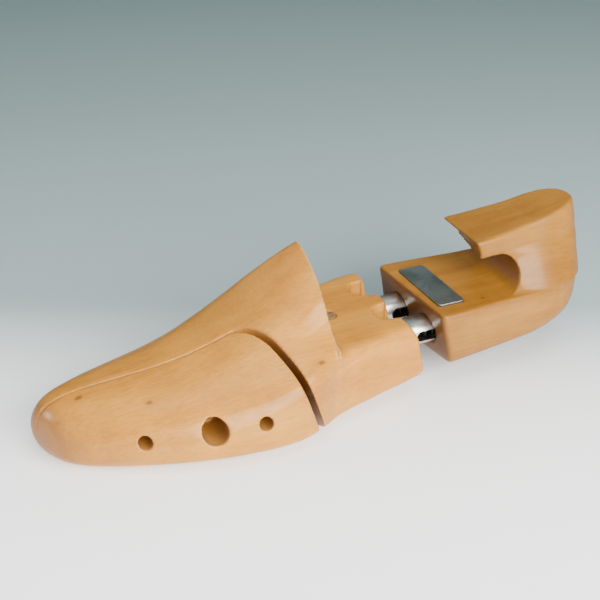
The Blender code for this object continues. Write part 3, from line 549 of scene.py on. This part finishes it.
# ---------------------------------------------------- forepart: the last's shape
OUTER_EDGE = millimetres(
    (0, 4.5), (0.6, 1.5), (2.8, -5.0), (5.6, -10.5), (10.4, -16.5), (21, -23.7), (32, -29.6), (43, -34.4),
    (59, -40.0), (79, -44.5), (92, -45.6), (102, -45.0), (110, -42.6), (118, -38.6), (125, -34.9),
    (133, -32.3), (150, -29.0), (172, -26.0),
)
INNER_EDGE = millimetres(
    (0, 4.5), (0.6, 7.0), (2.8, 9.6), (5.6, 11.8), (14.8, 17.0), (26.6, 22.6), (47, 28.6), (62, 30.8),
    (72.5, 31.0), (85, 29.0), (95, 26.0), (105, 21.8), (115, 18.4), (125, 17.2), (135, 22.4), (147, 28.0),
    (160, 30.8), (172, 31.0),
)
RIDGE_TOP = millimetres(
    (0, 14), (0.6, 17.0), (2.8, 21.5), (5.6, 24.6), (8, 26.2), (13, 28.3), (22, 30.4), (32, 31.9), (42, 33.2),
    (54, 35.2), (66, 38.3), (78, 43.2), (91, 50.4), (101, 57.2), (112, 64.8), (120, 70.3), (125, 73.2),
)
RIDGE_SIDE = millimetres(
    (0, 4.5), (22, 3.0), (42, 4.0), (54, 5.5), (70, 9.0), (80, 11.0), (91, 12.0), (101, 12.0), (112, 10.5),
    (120, 8.0), (125, 6.4), (140, 0.0), (172, 1.3),
)
SOLE = millimetres(
    (0, 12), (0.6, 8.4), (2.8, 4.0), (5.6, 1.8), (11, -0.3), (18, -1.2), (118, -1.2), (134, 0.4), (150, 3.8),
    (160, 5.6), (172, 7.4),
)
WIDEST = millimetres((0, 12.5), (5.6, 11.5), (18, 9.5), (40, 9), (110, 9), (125, 9.5), (150, 12), (172, 15))

# half sections of the crest between the widest point (1, 0) and the ridge (0, 1)
CREST_OUTER = (
    (1.0, 0.0), (0.995, 0.18), (0.985, 0.33), (0.94, 0.43), (0.85, 0.50), (0.72, 0.60), (0.59, 0.74),
    (0.44, 0.845), (0.28, 0.92), (0.12, 0.975), (0.0, 1.0),
)
CREST_INNER = (
    (1.0, 0.0), (1.0, 0.15), (1.0, 0.30), (0.985, 0.43), (0.94, 0.55), (0.88, 0.66), (0.79, 0.76),
    (0.66, 0.85), (0.48, 0.93), (0.25, 0.98), (0.0, 1.0),
)
OVAL_POWER = 2.05
SOLE_POWER = 2.7
BLOCK_POWER = 14.0
CREST_FILLET = 5.0 * MM
REAR_LEAN = 7.7 * MM
REAR_LEVEL = 15.0 * MM
REAR_SKEW = 0.027
EDGE_ROUND = 1.4 * MM
QUARTER_STEPS = 24
TOE_TIP = (0.0, 4.5 * MM, 13 * MM)
LAST_SECTIONS = 48

# distances from the toe of the close sections round its tip, in millimetres
TOE_SECTIONS = (
    0.25, 0.6, 1.0, 1.5, 2.1, 2.8, 3.6, 4.5, 5.5, 6.7, 8, 9.5, 11.2, 13.2, 15.5, 18, 21, 24, 27.5, 31,
)


def crest_curves(points):
    """Half section as two smooth curves over 0..1."""
    last = len(points) - 1
    across = [(k / last, u) for k, (u, _) in enumerate(points)]
    upward = [(k / last, w) for k, (_, w) in enumerate(points)]
    return across, upward


CREST_HALVES = (crest_curves(CREST_OUTER), crest_curves(CREST_INNER))


def quarter(power, share):
    """Point of a superellipse quarter: (1, 0) at share 0 to (0, 1) at share 1."""
    angle = math.pi / 2 * share
    return max(math.cos(angle), 0.0) ** (2 / power), math.sin(angle) ** (2 / power)


def last_section(x, block, top=None, inset=0.0):
    """Ring of the forepart at one distance from the toe, as (y, z) pairs.

    block 0 gives the last's rounded section, block 1 the flat topped waist block.
    """
    edges = (curve_value(OUTER_EDGE, x) + inset, curve_value(INNER_EDGE, x) - inset)
    ridge = curve_value(RIDGE_SIDE, x)
    widest = curve_value(WIDEST, x)
    sole = curve_value(SOLE, x) + inset
    peak = curve_value(RIDGE_TOP, x) if top is None else top
    crest = ramp(x, 62 * MM, 120 * MM)
    halves = []
    for edge, (across, upward) in zip(edges, CREST_HALVES):
        upper = []
        lower = []
        for step in range(QUARTER_STEPS + 1):
            share = step / QUARTER_STEPS
            u, w = quarter(BLOCK_POWER if block else OVAL_POWER, share)
            if not block:
                u += (curve_value(across, share) - u) * crest
                w += (curve_value(upward, share) - w) * crest
            y = ridge + (edge - ridge) * u
            rise = tilt(y) if block else 0.0
            upper.append((y, widest + (peak + rise - widest) * w))
            u, w = quarter(SOLE_POWER, share)
            lower.append((ridge + (edge - ridge) * u, widest - (widest - sole) * w))
        halves.append((upper, lower))
    (outer_up, outer_low), (inner_up, inner_low) = halves
    return (
        outer_up[:-1] + list(reversed(inner_up))[:-1] + inner_low[:-1] + list(reversed(outer_low[1:]))
    )


def rear_lean(y, z):
    """How far the waist block's rear face stands back at a place on it."""
    share = (z - REAR_LEVEL) / (WAIST_TOP + tilt(y) - REAR_LEVEL)
    return REAR_LEAN * (1 - min(max(share, 0.0), 1.0) ** 2) + REAR_SKEW * y


def forepart_blank(name):
    """Toe, instep crest and waist block as one closed skin."""
    rings = []
    toe_end = TOE_SECTIONS[-1]
    span = CREST_X / MM - toe_end
    x_stations = [x * MM for x in TOE_SECTIONS]
    x_stations += [(toe_end + span * k / LAST_SECTIONS) * MM for k in range(1, LAST_SECTIONS + 1)]
    for x in x_stations:
        rings.append([to_frame((x, y, z)) for y, z in last_section(x, 0)])
    for k in range(9):
        angle = math.pi / 2 * k / 8
        x = CREST_X + CREST_FILLET * (1 - math.cos(angle))
        top = WAIST_TOP + CREST_FILLET * (1 - math.sin(angle))
        rings.append([to_frame((x, y, z)) for y, z in last_section(x, 1, top)])
    block_start = CREST_X + CREST_FILLET
    block_length = WAIST_REAR_X - EDGE_ROUND - block_start
    for k in range(1, 13):
        x = block_start + block_length * k / 12
        lean = ramp(x, block_start, WAIST_REAR_X - 6 * MM)
        ring = last_section(x, 1, WAIST_TOP)
        rings.append([to_frame((x + lean * rear_lean(y, z), y, z)) for y, z in ring])
    for k in range(1, 6):
        angle = math.pi / 2 * k / 5
        x = WAIST_REAR_X - EDGE_ROUND * (1 - math.sin(angle))
        inset = EDGE_ROUND * (1 - math.cos(angle))
        ring = last_section(x, 1, WAIST_TOP - inset, inset)
        rings.append([to_frame((x + rear_lean(y, z), y, z)) for y, z in ring])
    bm = bmesh.new()
    loft(bm, rings, first_point=to_frame(TOE_TIP))
    blank = mesh_object(name, bm)
    corners = [(-0.5, -0.2), (0.5, -0.2), (0.5, 0.2), (-0.5, 0.2)]
    cut(blank, prism("below_ground", corners, -0.05, 0.0))
    return blank


# ------------------------------------------------------------ the toe wing's cut
SHOULDER_LONG = 19.5 * MM
SHOULDER_WIDE = 36.0 * MM
SHOULDER_LEVEL = 20.0 * MM
SHOULDER_SLANT = 0.36
SPLIT_KERF = 0.35 * MM
WING_GAP = 3.2 * MM
GUIDES = {"upper": (9.0 * MM, 25.0 * MM), "lower": (13.0 * MM, 11.0 * MM)}   # across, height
GUIDE_HOLE_R = 2.3 * MM
BODY_GUIDE_DEPTH = 15.5 * MM
WING_GUIDE_DEPTH = 23 * MM

# how far the cutter reaches past the wood: ahead of the toe, aside, behind the shoulder
CUTTER_AHEAD = 40 * MM
CUTTER_ASIDE = 80 * MM
CUTTER_TAIL = 52 * MM
CUTTER_LEVELS = (-5 * MM, 80 * MM)
POCKET_R = 3.9 * MM
POCKET_DEPTH = 9.0 * MM
BODY_POCKET = 2.0 * MM


def wing_cutter(name, forward, offset):
    """Closed cutter in the wing's plan outline, leaning forward with height."""
    shift = -SPLIT_LINE * forward + SPLIT_SIDE * offset
    start = SPLIT_FRONT - SPLIT_LINE * CUTTER_AHEAD
    centre = SPLIT_REAR + SPLIT_SIDE * SHOULDER_WIDE
    points = [start + SPLIT_SIDE * CUTTER_ASIDE, start]
    for k in range(41):
        angle = math.pi / 2 * k / 40
        aside = SPLIT_SIDE * SHOULDER_WIDE * math.cos(angle)
        points.append(centre - aside + SPLIT_LINE * SHOULDER_LONG * math.sin(angle))
    points.append(points[-1] + SPLIT_SIDE * CUTTER_TAIL)
    rings = []
    for level in CUTTER_LEVELS:
        lean = SPLIT_LINE * SHOULDER_SLANT * (SHOULDER_LEVEL - level)
        rings.append([to_frame((*(p + shift + lean), level)) for p in points])
    bm = bmesh.new()
    loft(bm, rings)
    return mesh_object(name, bm)


def wing_axis_point(along, across, height):
    """Point given along the split line from its rear end, across it and above ground."""
    flat = SPLIT_REAR + SPLIT_LINE * along + SPLIT_SIDE * across
    return to_frame((flat.x, flat.y, height))


def shoulder_along(across, height):
    """Where the rounded shoulder lies along the split line."""
    share = math.sqrt(1.0 - (1.0 - across / SHOULDER_WIDE) ** 2)
    return SHOULDER_LONG * share + SHOULDER_SLANT * (SHOULDER_LEVEL - height)


# ------------------------------------------------------- notches over the tubes
NOTCH_HALF = 6.6 * MM
NOTCH_FLARE = 2.8 * MM
NOTCH_X = middle("tube_screw_outer").x
BORE_R = TUBE_R + 0.2 * MM
BORE_FRONT = TUBE_LOW.x - 0.3 * MM
HEEL_BORE_END = TUBE_HIGH.x + 13.5 * MM


def notch(label):
    """Upright U-shaped notch over a tube: round in front, flared where it leaves the block."""
    axis = TUBE_MIDDLES[label]
    half = []
    for k in range(17):
        angle = math.pi / 2 * k / 16
        half.append((-NOTCH_HALF * math.cos(angle), NOTCH_HALF * math.sin(angle)))
    flare_x = 1.5 * MM
    for k in range(1, 9):
        angle = math.pi / 2 * k / 8
        widening = NOTCH_FLARE * (1 - math.cos(angle))
        half.append((flare_x + NOTCH_FLARE * math.sin(angle), NOTCH_HALF + widening))
    half.append((20 * MM, half[-1][1]))
    outline = [(NOTCH_X + x, axis.y + y) for x, y in half]
    outline += [(NOTCH_X + x, axis.y - y) for x, y in reversed(half[1:])]
    return prism("tube_notch", outline, axis.z + 1.0 * MM, axis.z + 30 * MM)


def along_tube(label, x):
    """Point on a tube's middle line at a place along X."""
    return Vector((x, TUBE_MIDDLES[label].y, TUBE_MIDDLES[label].z))


def build_forepart():
    """Forepart body with its bores, notches, plug hole and the space for the wing."""
    body = forepart_blank("forepart_wood")
    cut(body, wing_cutter("wing_space", 0.0, 0.0))
    for label in ("outer", "inner"):
        cut(body, bar("tube_bore", BORE_R, along_tube(label, BORE_FRONT), along_tube(label, 0.2)))
        cut(body, notch(label))
    plug_low, plug_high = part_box("crest_foot_plug")
    plug = middle("crest_foot_plug")
    plug_r = (plug_high.x - plug_low.x) / 2 + 0.15 * MM
    cut(body, bar("plug_hole", plug_r, plug - TOP_NORMAL * 3.8 * MM, plug + TOP_NORMAL * 12 * MM))
    for across, height in GUIDES.values():
        shoulder = shoulder_along(across, height)
        start = wing_axis_point(0.0, across, height)
        end = wing_axis_point(shoulder + BODY_POCKET, across, height)
        cut(body, bar("spring_pocket", POCKET_R, start, end, 40))
        end = wing_axis_point(shoulder + BODY_GUIDE_DEPTH, across, height)
        cut(body, bar("guide_hole", GUIDE_HOLE_R, start, end, 32))
    sand(body, 0.66 * MM)
    return dress(body, "forepart", "varnished_wood", BODY_WOOD, "forepart_body")


def build_wing():
    """Outer toe wing with its three vent bores, guide holes and spring pockets."""
    wing = forepart_blank("wing_wood")
    cut(wing, wing_cutter("wing_keep", WING_GAP, SPLIT_KERF), "INTERSECT")
    for x, y, z, radius, depth in VENTS:
        mouth = at(x, y, z)
        end = mouth - VENT_AXIS * depth * MM
        cut(wing, bar("vent", radius * MM, mouth + VENT_AXIS * 15 * MM, end))
    for across, height in GUIDES.values():
        face = shoulder_along(across, height) - WING_GAP
        outside = wing_axis_point(face + 30 * MM, across, height)
        end = wing_axis_point(face - WING_GUIDE_DEPTH, across, height)
        cut(wing, bar("guide_hole", GUIDE_HOLE_R, outside, end, 32))
        end = wing_axis_point(face - POCKET_DEPTH, across, height)
        cut(wing, bar("spring_pocket", POCKET_R, outside, end, 40))
    sand(wing, 0.5 * MM)
    return dress(wing, "wing", "varnished_wood", WING_WOOD, "toe_wing")


# ------------------------------------------------------------------ heel block
HOOK_TOP = millimetres(
    (205, 64.0), (219, 65.2), (232, 67.0), (244, 68.6), (254, 70.6), (264, 72.6), (272, 73.4),
)
HEEL_FRONT_SLANT = 0.204
HOOK_NOSE_X = 207.2 * MM
HOOK_SLANT = 0.8
HOOK_TWIST = 0.2
HOOK_LIP = 7.5 * MM
HOOK_MIDDLE_X = 244 * MM
HOOK_REAR_POWER = 2.25
BASE_HALF = 28.0 * MM
BASE_NARROWING = 1.9 * MM
BASE_MIDDLE_X = 228 * MM
BASE_REAR_POWER = 2.3
BASE_NARROWING_SPAN = (18 * MM, 39 * MM)
BASE_TILT_SPAN = (24 * MM, 33 * MM)
BASE_LIFT_LENGTH = 66 * MM
HEEL_CORNER = 2.8 * MM
HEEL_SKEW = 0.045
SKEW_REACH = 45 * MM
HOOK_CORNER = 1.6 * MM
LEAST_HOOK_CORNER = 0.5 * MM
FRONT_INSET_SHARE = 0.4
CORNER_STEPS = 10
SIDE_STEPS = 14
REAR_STEPS = 26
RING_SPLIT = 5

# rows of the base: height, lift towards the rear, inset, rear end
BASE_ROWS = (
    (9.0, 7.5, 7.0, 246), (9.5, 7.4, 4.2, 252.5), (10.8, 7.0, 2.2, 258), (13.2, 6.4, 0.9, 264),
    (17, 5.0, 0.2, 267.5), (23, 2.6, 0, 270.2), (30, 0.6, 0, 271.8), (36.5, 0, 0, 272.4),
    (38.3, 0, 0.25, 272.4), (39, 0, 0.7, 272.4), (39.3, 0, 1.5, 272.3),
)
# rows of the neck and hook: height, share of the sloping top, front half, middle half,
# rear end, middle across, inset
HOOK_ROWS = (
    (39.3, 0, 22, 24.4, 272.3, 1.3, 0), (41.5, 0, 18.6, 23.6, 272.6, 1.6, 0),
    (44.5, 0, 16, 22.3, 272.8, 2, 0), (48.5, 0, 14.5, 20.6, 272.7, 2.4, 0),
    (53, 0, 14, 18.6, 273, 2.8, 0), (57, 0, 14.3, 16.9, 272.7, 3, 0),
    (57.5, 0.45, 15, 14.9, 271.8, 3, 0), (57, 0.9, 15.5, 13.3, 270.2, 3, 0),
    (57, 0.97, 15.5, 13.1, 270, 3, 0.35), (57, 1, 15.5, 13.1, 269.9, 3, 1.1),
)


def between_rows(rows):
    """Rows with smooth extra rows between them."""
    columns = [[(i, row[c]) for i, row in enumerate(rows)] for c in range(len(rows[0]))]
    count = (len(rows) - 1) * RING_SPLIT
    fine = []
    for k in range(count + 1):
        fine.append([curve_value(column, k / RING_SPLIT) for column in columns])
    return fine


def half_outline(front, front_half, corner, middle_x, middle_half, rear, power):
    """Half of a plan outline, from the middle of the front round to the rear tip, as (x, half width)."""
    points = [(front, 0.55 * (front_half - corner) * k / 3) for k in range(4)]
    for k in range(CORNER_STEPS + 1):
        angle = math.pi / 2 * k / CORNER_STEPS
        aside = front_half - corner * (1 - math.sin(angle))
        points.append((front + corner * (1 - math.cos(angle)), aside))
    start = front + corner
    for k in range(1, SIDE_STEPS + 1):
        t = k / (SIDE_STEPS + 1)
        aside = front_half + (middle_half - front_half) * ramp(t, 0, 1)
        points.append((start + (middle_x - start) * t, aside))
    for k in range(REAR_STEPS + 1):
        angle = math.pi / 2 * k / REAR_STEPS
        x = middle_x + (rear - middle_x) * math.sin(angle) ** (2 / power)
        points.append((x, middle_half * max(math.cos(angle), 0.0) ** (2 / power)))
    return points


def full_ring(half, centre_y, height, skew=0.0):
    """Closed ring from half an outline; height is a function of x and y. Skew turns the front edge."""
    front = half[0][0]
    ring = []
    for sign, points in ((-1, half), (1, list(reversed(half))[1:-1])):
        for x, width in points:
            y = centre_y + sign * width
            shift = skew * (centre_y - y) * (1 - ramp(x, front, front + SKEW_REACH))
            ring.append(to_frame((x + shift, y, height(x, y))))
    return ring


def base_ring(row):
    """Ring of the heel block's base."""
    z, lift, inset, rear = (value * MM for value in row)
    front_inset = inset * (FRONT_INSET_SHARE if z < 20 * MM else 1.0)
    front = HEEL_FRONT_X + HEEL_FRONT_SLANT * (HEEL_TOP - 2 * MM - z) + front_inset
    corner = max(HEEL_CORNER - inset, 2 * MM)
    middle_half = BASE_HALF - inset - BASE_NARROWING * ramp(z, *BASE_NARROWING_SPAN)
    front_half = BASE_HALF - inset
    half = half_outline(
        front, front_half, corner, BASE_MIDDLE_X, middle_half, rear, BASE_REAR_POWER,
    )
    tilt_share = ramp(z, *BASE_TILT_SPAN)

    def height(x, y):
        rise = min(1.0, max(0.0, (x - HEEL_FRONT_X) / BASE_LIFT_LENGTH))
        return z + lift * rise + tilt(y) * tilt_share

    return full_ring(half, AXIS_Y, height, HEEL_SKEW)


def hook_ring(row):
    """Ring of the neck and hook."""
    share = row[1]
    z, _, front_half, middle_half, rear, centre_y, inset = (value * MM for value in row)
    front = HOOK_NOSE_X + HOOK_SLANT * (1 - share) * HOOK_LIP + inset
    corner = max(HOOK_CORNER - inset, LEAST_HOOK_CORNER)
    half = half_outline(
        front, front_half - inset, corner, HOOK_MIDDLE_X, middle_half - inset, rear - inset,
        HOOK_REAR_POWER,
    )

    def height(x, y):
        return z + (curve_value(HOOK_TOP, x) - z) * share + tilt(y)

    return full_ring(half, centre_y, height, -HOOK_TWIST * (1 - share))


FINGER_R = 8.25 * MM
FINGER_X = 221.5 * MM
FINGER_MOUTH_X = 190 * MM
FINGER_MOUTH_DROP = 2.6 * MM        # the opening's top comes down towards its mouth


def finger_opening():
    """Cutter for the opening under the hook: flat floor, round back."""
    floor = HEEL_TOP + 0.02 * MM
    centre = (FINGER_X, floor + FINGER_R)
    outline = [(FINGER_MOUTH_X, floor)]
    for k in range(41):
        angle = -math.pi / 2 + math.pi * k / 40
        outline.append((centre[0] + FINGER_R * math.cos(angle), centre[1] + FINGER_R * math.sin(angle)))
    outline.append((FINGER_MOUTH_X, centre[1] + FINGER_R - FINGER_MOUTH_DROP))
    pivot = to_frame((0.0, AXIS_Y, HEEL_TOP))
    outline = [(TOE.x + x, z - HEEL_TOP) for x, z in outline]
    cutter = prism("finger_opening", outline, -60 * MM, 60 * MM, "Y")
    return tilted_to(cutter, (0, pivot.y, pivot.z))


PLATE_MIDDLE = middle("name_plate")
PLATE_LOW, PLATE_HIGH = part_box("name_plate")
PLATE_WIDTH = PLATE_HIGH.x - PLATE_LOW.x
PLATE_LENGTH = (PLATE_HIGH.y - PLATE_LOW.y) / math.cos(TILT_ANGLE)
PLATE_CORNER = 2.2 * MM
PLATE_CLEARANCE = 0.3 * MM
PLATE_SEAT_DEPTH = 0.7 * MM
PIN_PLUG_HOLE_R = 3.45 * MM
PIN_PLUG_HOLE_DEPTH = 2.2 * MM


def plate_outline(margin, steps=12):
    """Rounded rectangle round the plate's middle."""
    half_x = PLATE_WIDTH / 2 + margin
    half_y = PLATE_LENGTH / 2 + margin
    outline = []
    for sx, sy, start in ((1, 1, 0), (-1, 1, 90), (-1, -1, 180), (1, -1, 270)):
        for k in range(steps + 1):
            angle = math.radians(start + 90 * k / steps)
            x = sx * (half_x - PLATE_CORNER) + PLATE_CORNER * math.cos(angle)
            y = sy * (half_y - PLATE_CORNER) + PLATE_CORNER * math.sin(angle)
            outline.append((x, y))
    return outline


def on_plate(target):
    """Turn and move a mesh made round the origin to the plate's place on the tilted top."""
    seat = Vector((PLATE_MIDDLE.x, to_frame((0, AXIS_Y, 0)).y, HEEL_TOP))
    return tilted_to(target, seat)


def build_heel():
    """Heel block with its hook, finger opening, tube bores, pin plug hole and plate seat."""
    rings = [base_ring(row) for row in between_rows(BASE_ROWS)]
    rings += [hook_ring(row) for row in between_rows(HOOK_ROWS)]
    bm = bmesh.new()
    loft(bm, rings)
    heel = mesh_object("heel_wood", bm)
    cut(heel, finger_opening())
    for label in ("outer", "inner"):
        cut(heel, bar("heel_bore", BORE_R, along_tube(label, 0.0), along_tube(label, HEEL_BORE_END)))
    plug = middle("heel_pin_plug")
    hole_end = plug - ACROSS * PIN_PLUG_HOLE_DEPTH
    cut(heel, bar("pin_plug_hole", PIN_PLUG_HOLE_R, hole_end, plug + ACROSS * 20 * MM))
    seat = prism("plate_seat", plate_outline(PLATE_CLEARANCE), -PLATE_SEAT_DEPTH, 10 * MM)
    cut(heel, on_plate(seat))
    sand(heel, 0.6 * MM)
    return dress(heel, "heel", "varnished_wood", HEEL_WOOD, "heel_block")


# ---------------------------------------------------------------- metal pieces
def bevel(target, width, angle=30.0, segments=3):
    """Round the sharp edges of a piece and bake it."""
    step = target.modifiers.new("edge", "BEVEL")
    step.width = width
    step.segments = segments
    step.limit_method = "ANGLE"
    step.angle_limit = math.radians(angle)
    step.harden_normals = True
    bake(target)


def build_plate():
    """Blank plate, its edge softly broken, lying in its seat."""
    plate = prism("blank_plate", plate_outline(0.0), -0.4 * MM, 0.6 * MM)
    bevel(plate, 0.28 * MM)
    on_plate(plate)
    return dress(plate, "heel", "brushed_plate", BRUSHED, "name_plate")


TUBE_WALL = 1.0 * MM
SLOT_HALF = 2.7 * MM
SLOT_FRONT_X = 174.5 * MM
SCREW_HOLE_R = 1.8 * MM


def build_tube(label):
    """Slotted tube with broken edges."""
    middle_line = TUBE_MIDDLES[label]
    ends = (along_tube(label, TUBE_LOW.x), along_tube(label, TUBE_HIGH.x))
    tube = bar(f"slotted_tube_{label}", TUBE_R, *ends, 96)
    cut(tube, bar("inside", TUBE_R - TUBE_WALL, along_tube(label, -0.1), along_tube(label, 0.2), 96))
    half = SLOT_HALF
    pin = middle("heel_cross_pin").x
    front = TOE.x + SLOT_FRONT_X
    outline = []
    for centre, start in ((front + half, math.pi / 2), (pin + 0.05 * MM, -math.pi / 2)):
        for k in range(17):
            angle = start + math.pi * k / 16
            outline.append((centre + half * math.cos(angle), half * math.sin(angle)))
    slot = prism("slot", outline, -10 * MM, 10 * MM, "Y")
    cut(tube, tilted_to(slot, (0, middle_line.y, middle_line.z)))
    up = Vector((0, 0, 1))
    screw = along_tube(label, NOTCH_X)
    cut(tube, bar("screw_hole", SCREW_HOLE_R, screw - up * 10 * MM, screw + up * 10 * MM, 32))
    bevel(tube, 0.12 * MM, 40.0, 2)
    return dress(tube, "forepart", "nickel_tube", NICKEL, f"tube_{label}")


# coil radius, wire radius and turns
THRUST_COIL = (3.75 * MM, 0.55 * MM, 7)
WING_COIL = (3.0 * MM, 0.4 * MM, 5)


def coil(name, start, direction, length, radius, wire, turns):
    """Compression spring of round wire with closed end turns, as a mesh."""
    axis = Vector(direction).normalized()
    side = axis.orthogonal().normalized()
    other = axis.cross(side)
    data = bpy.data.curves.new(name, "CURVE")
    data.dimensions = "3D"
    data.bevel_depth = wire
    data.bevel_resolution = 3
    data.use_fill_caps = True
    per_turn = 32
    count = turns * per_turn + 1
    spline = data.splines.new("POLY")
    spline.points.add(count - 1)
    free = length - 2 * wire
    closed = 2.1 * wire
    for i in range(count):
        turn = i / per_turn
        inner = min(max(turn - 1.0, 0.0), turns - 2.0)
        height = closed * min(turn, 1.0) + (free - 2 * closed) * inner / (turns - 2.0)
        height += closed * max(turn - (turns - 1.0), 0.0)
        angle = 2 * math.pi * turn
        place = Vector(start) + axis * (wire + height)
        place += (side * math.cos(angle) + other * math.sin(angle)) * radius
        spline.points[i].co = (*place, 1.0)
    made = bpy.data.objects.new(name + "_wire", data)
    bpy.context.scene.collection.objects.link(made)
    graph = bpy.context.evaluated_depsgraph_get()
    baked = bpy.data.meshes.new_from_object(made.evaluated_get(graph))
    bpy.data.objects.remove(made, do_unlink=True)
    bm = bmesh.new()
    bm.from_mesh(baked)
    bpy.data.meshes.remove(baked)
    return mesh_object(name, bm)


def build_thrust_spring(label):
    """Spring in a tube, from its front seat, as long as its CAD node."""
    low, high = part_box(f"thrust_spring_{label}")
    length = high.x - low.x
    start = along_tube(label, low.x)
    spring = coil(f"thrust_coil_{label}", start, (1, 0, 0), length, *THRUST_COIL)
    dress(spring, "forepart", "spring_steel", SHADED_SPRING_WIRE, f"thrust_spring_{label}")
    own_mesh(spring)


def build_wing_spring(label):
    """Spring round a guide pin, from its seat in the wing's pocket to the body's pocket."""
    across, height = GUIDES[label]
    shoulder = shoulder_along(across, height)
    forward = Vector((SPLIT_LINE.x, SPLIT_LINE.y, 0.0))
    seat = wing_axis_point(shoulder - WING_GAP - POCKET_DEPTH + 0.1 * MM, across, height)
    length = POCKET_DEPTH + WING_GAP + BODY_POCKET - 0.2 * MM
    spring = coil(f"wing_coil_{label}", seat, forward, length, *WING_COIL)
    dress(spring, "forepart", "spring_steel", SHADED_SPRING_WIRE, f"wing_spring_{label}")
    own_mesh(spring)


def dress_kept_nodes():
    """Materials for the CAD nodes that are shown as they are."""
    for name, node in NODES.items():
        if node.hide_render:
            continue
        material = STEEL
        if name == "crest_foot_plug":
            material = PLUG_WOOD
        if name == "heel_pin_plug":
            material = PIN_PLUG_WOOD
        node.data.materials.clear()
        node.data.materials.append(material)


# ------------------------------------------------------- floor, light and camera
FLOOR_NEAR = -1.6
FLOOR_FAR = 1.3
SWEEP_R = 0.9
BACKDROP_TOP = 2.6
STAGE_HALF = 2.6
# strength of a painted pool of light that glows on the floor's front
FLOOR_GLOW = 0.9
CAMERA_YAW = math.radians(26.033)
CAMERA_PITCH = math.radians(26.4385)
CAMERA_PLACE = Vector((-0.202635, -0.379141, 0.261332))
CAMERA_LENS = 64.961


def build_stage():
    """Pale sweep of floor and backdrop, darker towards the back, partly by colour and partly as painted
    shade, with a painted pool of light glowing at its front.
    """
    bm = bmesh.new()
    profile = [(FLOOR_NEAR, 0.0), (FLOOR_FAR, 0.0)]
    for k in range(1, 17):
        angle = math.pi / 2 * k / 16
        profile.append((FLOOR_FAR + SWEEP_R * math.sin(angle), SWEEP_R * (1 - math.cos(angle))))
    profile.append((FLOOR_FAR + SWEEP_R, BACKDROP_TOP))
    rows = [[bm.verts.new((x, y, z)) for y, z in profile] for x in (-STAGE_HALF, STAGE_HALF)]
    for i in range(len(profile) - 1):
        bm.faces.new((rows[0][i], rows[1][i], rows[1][i + 1], rows[0][i + 1]))
    floor = mesh_object("studio_floor", bm)
    floor.rotation_euler[2] = -CAMERA_YAW
    tree = Tree("pale_floor")
    grain = tree.noise(tree.coords((40.0, 40.0, 40.0)), 1.0, 3.0)
    away = tree.nodes.new("ShaderNodeSeparateXYZ")
    tree.links.new(tree.coords((1.0, 1.0, 1.0)), away.inputs[0])
    # Darker towards the back: partly a grey-blue backdrop colour, partly painted shade where the light falls
    # off.
    backdrop_and_falloff = tree.ramp(
        away.outputs["Y"], (0.0, (0.86, 0.87, 0.87)), (0.04, (0.68, 0.72, 0.73)),
        (0.09, (0.38, 0.46, 0.47)),
        (0.45, (0.33, 0.42, 0.42)), (0.95, (0.32, 0.42, 0.415)),
    )
    backdrop_and_falloff = tree.mix(0.05, backdrop_and_falloff, tree.ramp(grain, (0.3, 0.8), (0.7, 1.0)), "MULTIPLY")
    tree.put(tree.shader.inputs["Base Color"], backdrop_and_falloff)
    # Painted light: the floor's front glows as a pool of light, though it is no lamp.
    glow = tree.nodes.new("ShaderNodeMapRange")
    glow.interpolation_type = "SMOOTHSTEP"
    tree.links.new(away.outputs["Y"], glow.inputs["Value"])
    glow.inputs["From Min"].default_value = 0.12
    glow.inputs["From Max"].default_value = -0.14
    glow.inputs["To Max"].default_value = FLOOR_GLOW
    tree.shader.inputs["Emission Color"].default_value = (1.0, 1.0, 0.98, 1.0)
    tree.put(tree.shader.inputs["Emission Strength"], glow.outputs[0])
    tree.shader.inputs["Roughness"].default_value = 0.55
    tree.shader.inputs["Specular IOR Level"].default_value = 0.25
    floor.data.materials.append(tree.material)


def area_light(name, place, aim, size, power, colour=(1.0, 1.0, 1.0)):
    """Soft rectangular lamp."""
    data = bpy.data.lights.new(name, "AREA")
    data.shape = "RECTANGLE"
    data.size, data.size_y = size
    data.energy = power
    data.color = colour
    lamp = bpy.data.objects.new(name, data)
    bpy.context.scene.collection.objects.link(lamp)
    lamp.location = place
    lamp.rotation_euler = (Vector(aim) - Vector(place)).to_track_quat("-Z", "Y").to_euler()


def build_lights():
    """Wide soft box low in front, a small one past the toe, and dim grey-blue surroundings."""
    world = bpy.data.worlds.new("surroundings")
    world.use_nodes = True
    background = world.node_tree.nodes["Background"]
    background.inputs["Color"].default_value = (0.66, 0.82, 0.85, 1.0)
    background.inputs["Strength"].default_value = 0.42
    bpy.context.scene.world = world
    area_light("soft_box_front", (0.14, -0.90, 0.46), (0.0, -0.05, 0.02), (1.0, 0.6), 34.0, (1.0, 0.98, 0.95))
    area_light("soft_box_toe", (-0.95, 0.28, 0.34), (-0.13, -0.04, 0.02), (0.22, 0.22), 3.6)
    area_light("soft_box_top", (0.05, -0.25, 1.10), (0.0, -0.15, 0.0), (0.7, 0.7), 6.0, (1.0, 1.0, 0.99))


def build_camera():
    """Camera at the photograph's viewing angle."""
    data = bpy.data.cameras.new("camera")
    data.sensor_width = 36.0
    data.lens = CAMERA_LENS
    data.clip_start = 0.01
    camera = bpy.data.objects.new("camera", data)
    bpy.context.scene.collection.objects.link(camera)
    camera.location = CAMERA_PLACE
    camera.rotation_euler = (math.pi / 2 - CAMERA_PITCH, 0.0, -CAMERA_YAW)
    bpy.context.scene.camera = camera


build_forepart()
build_wing()
build_heel()
build_plate()
for tube_label in ("outer", "inner"):
    build_tube(tube_label)
    build_thrust_spring(tube_label)
for guide_label in GUIDES:
    build_wing_spring(guide_label)
dress_kept_nodes()
build_stage()
build_lights()
build_camera()
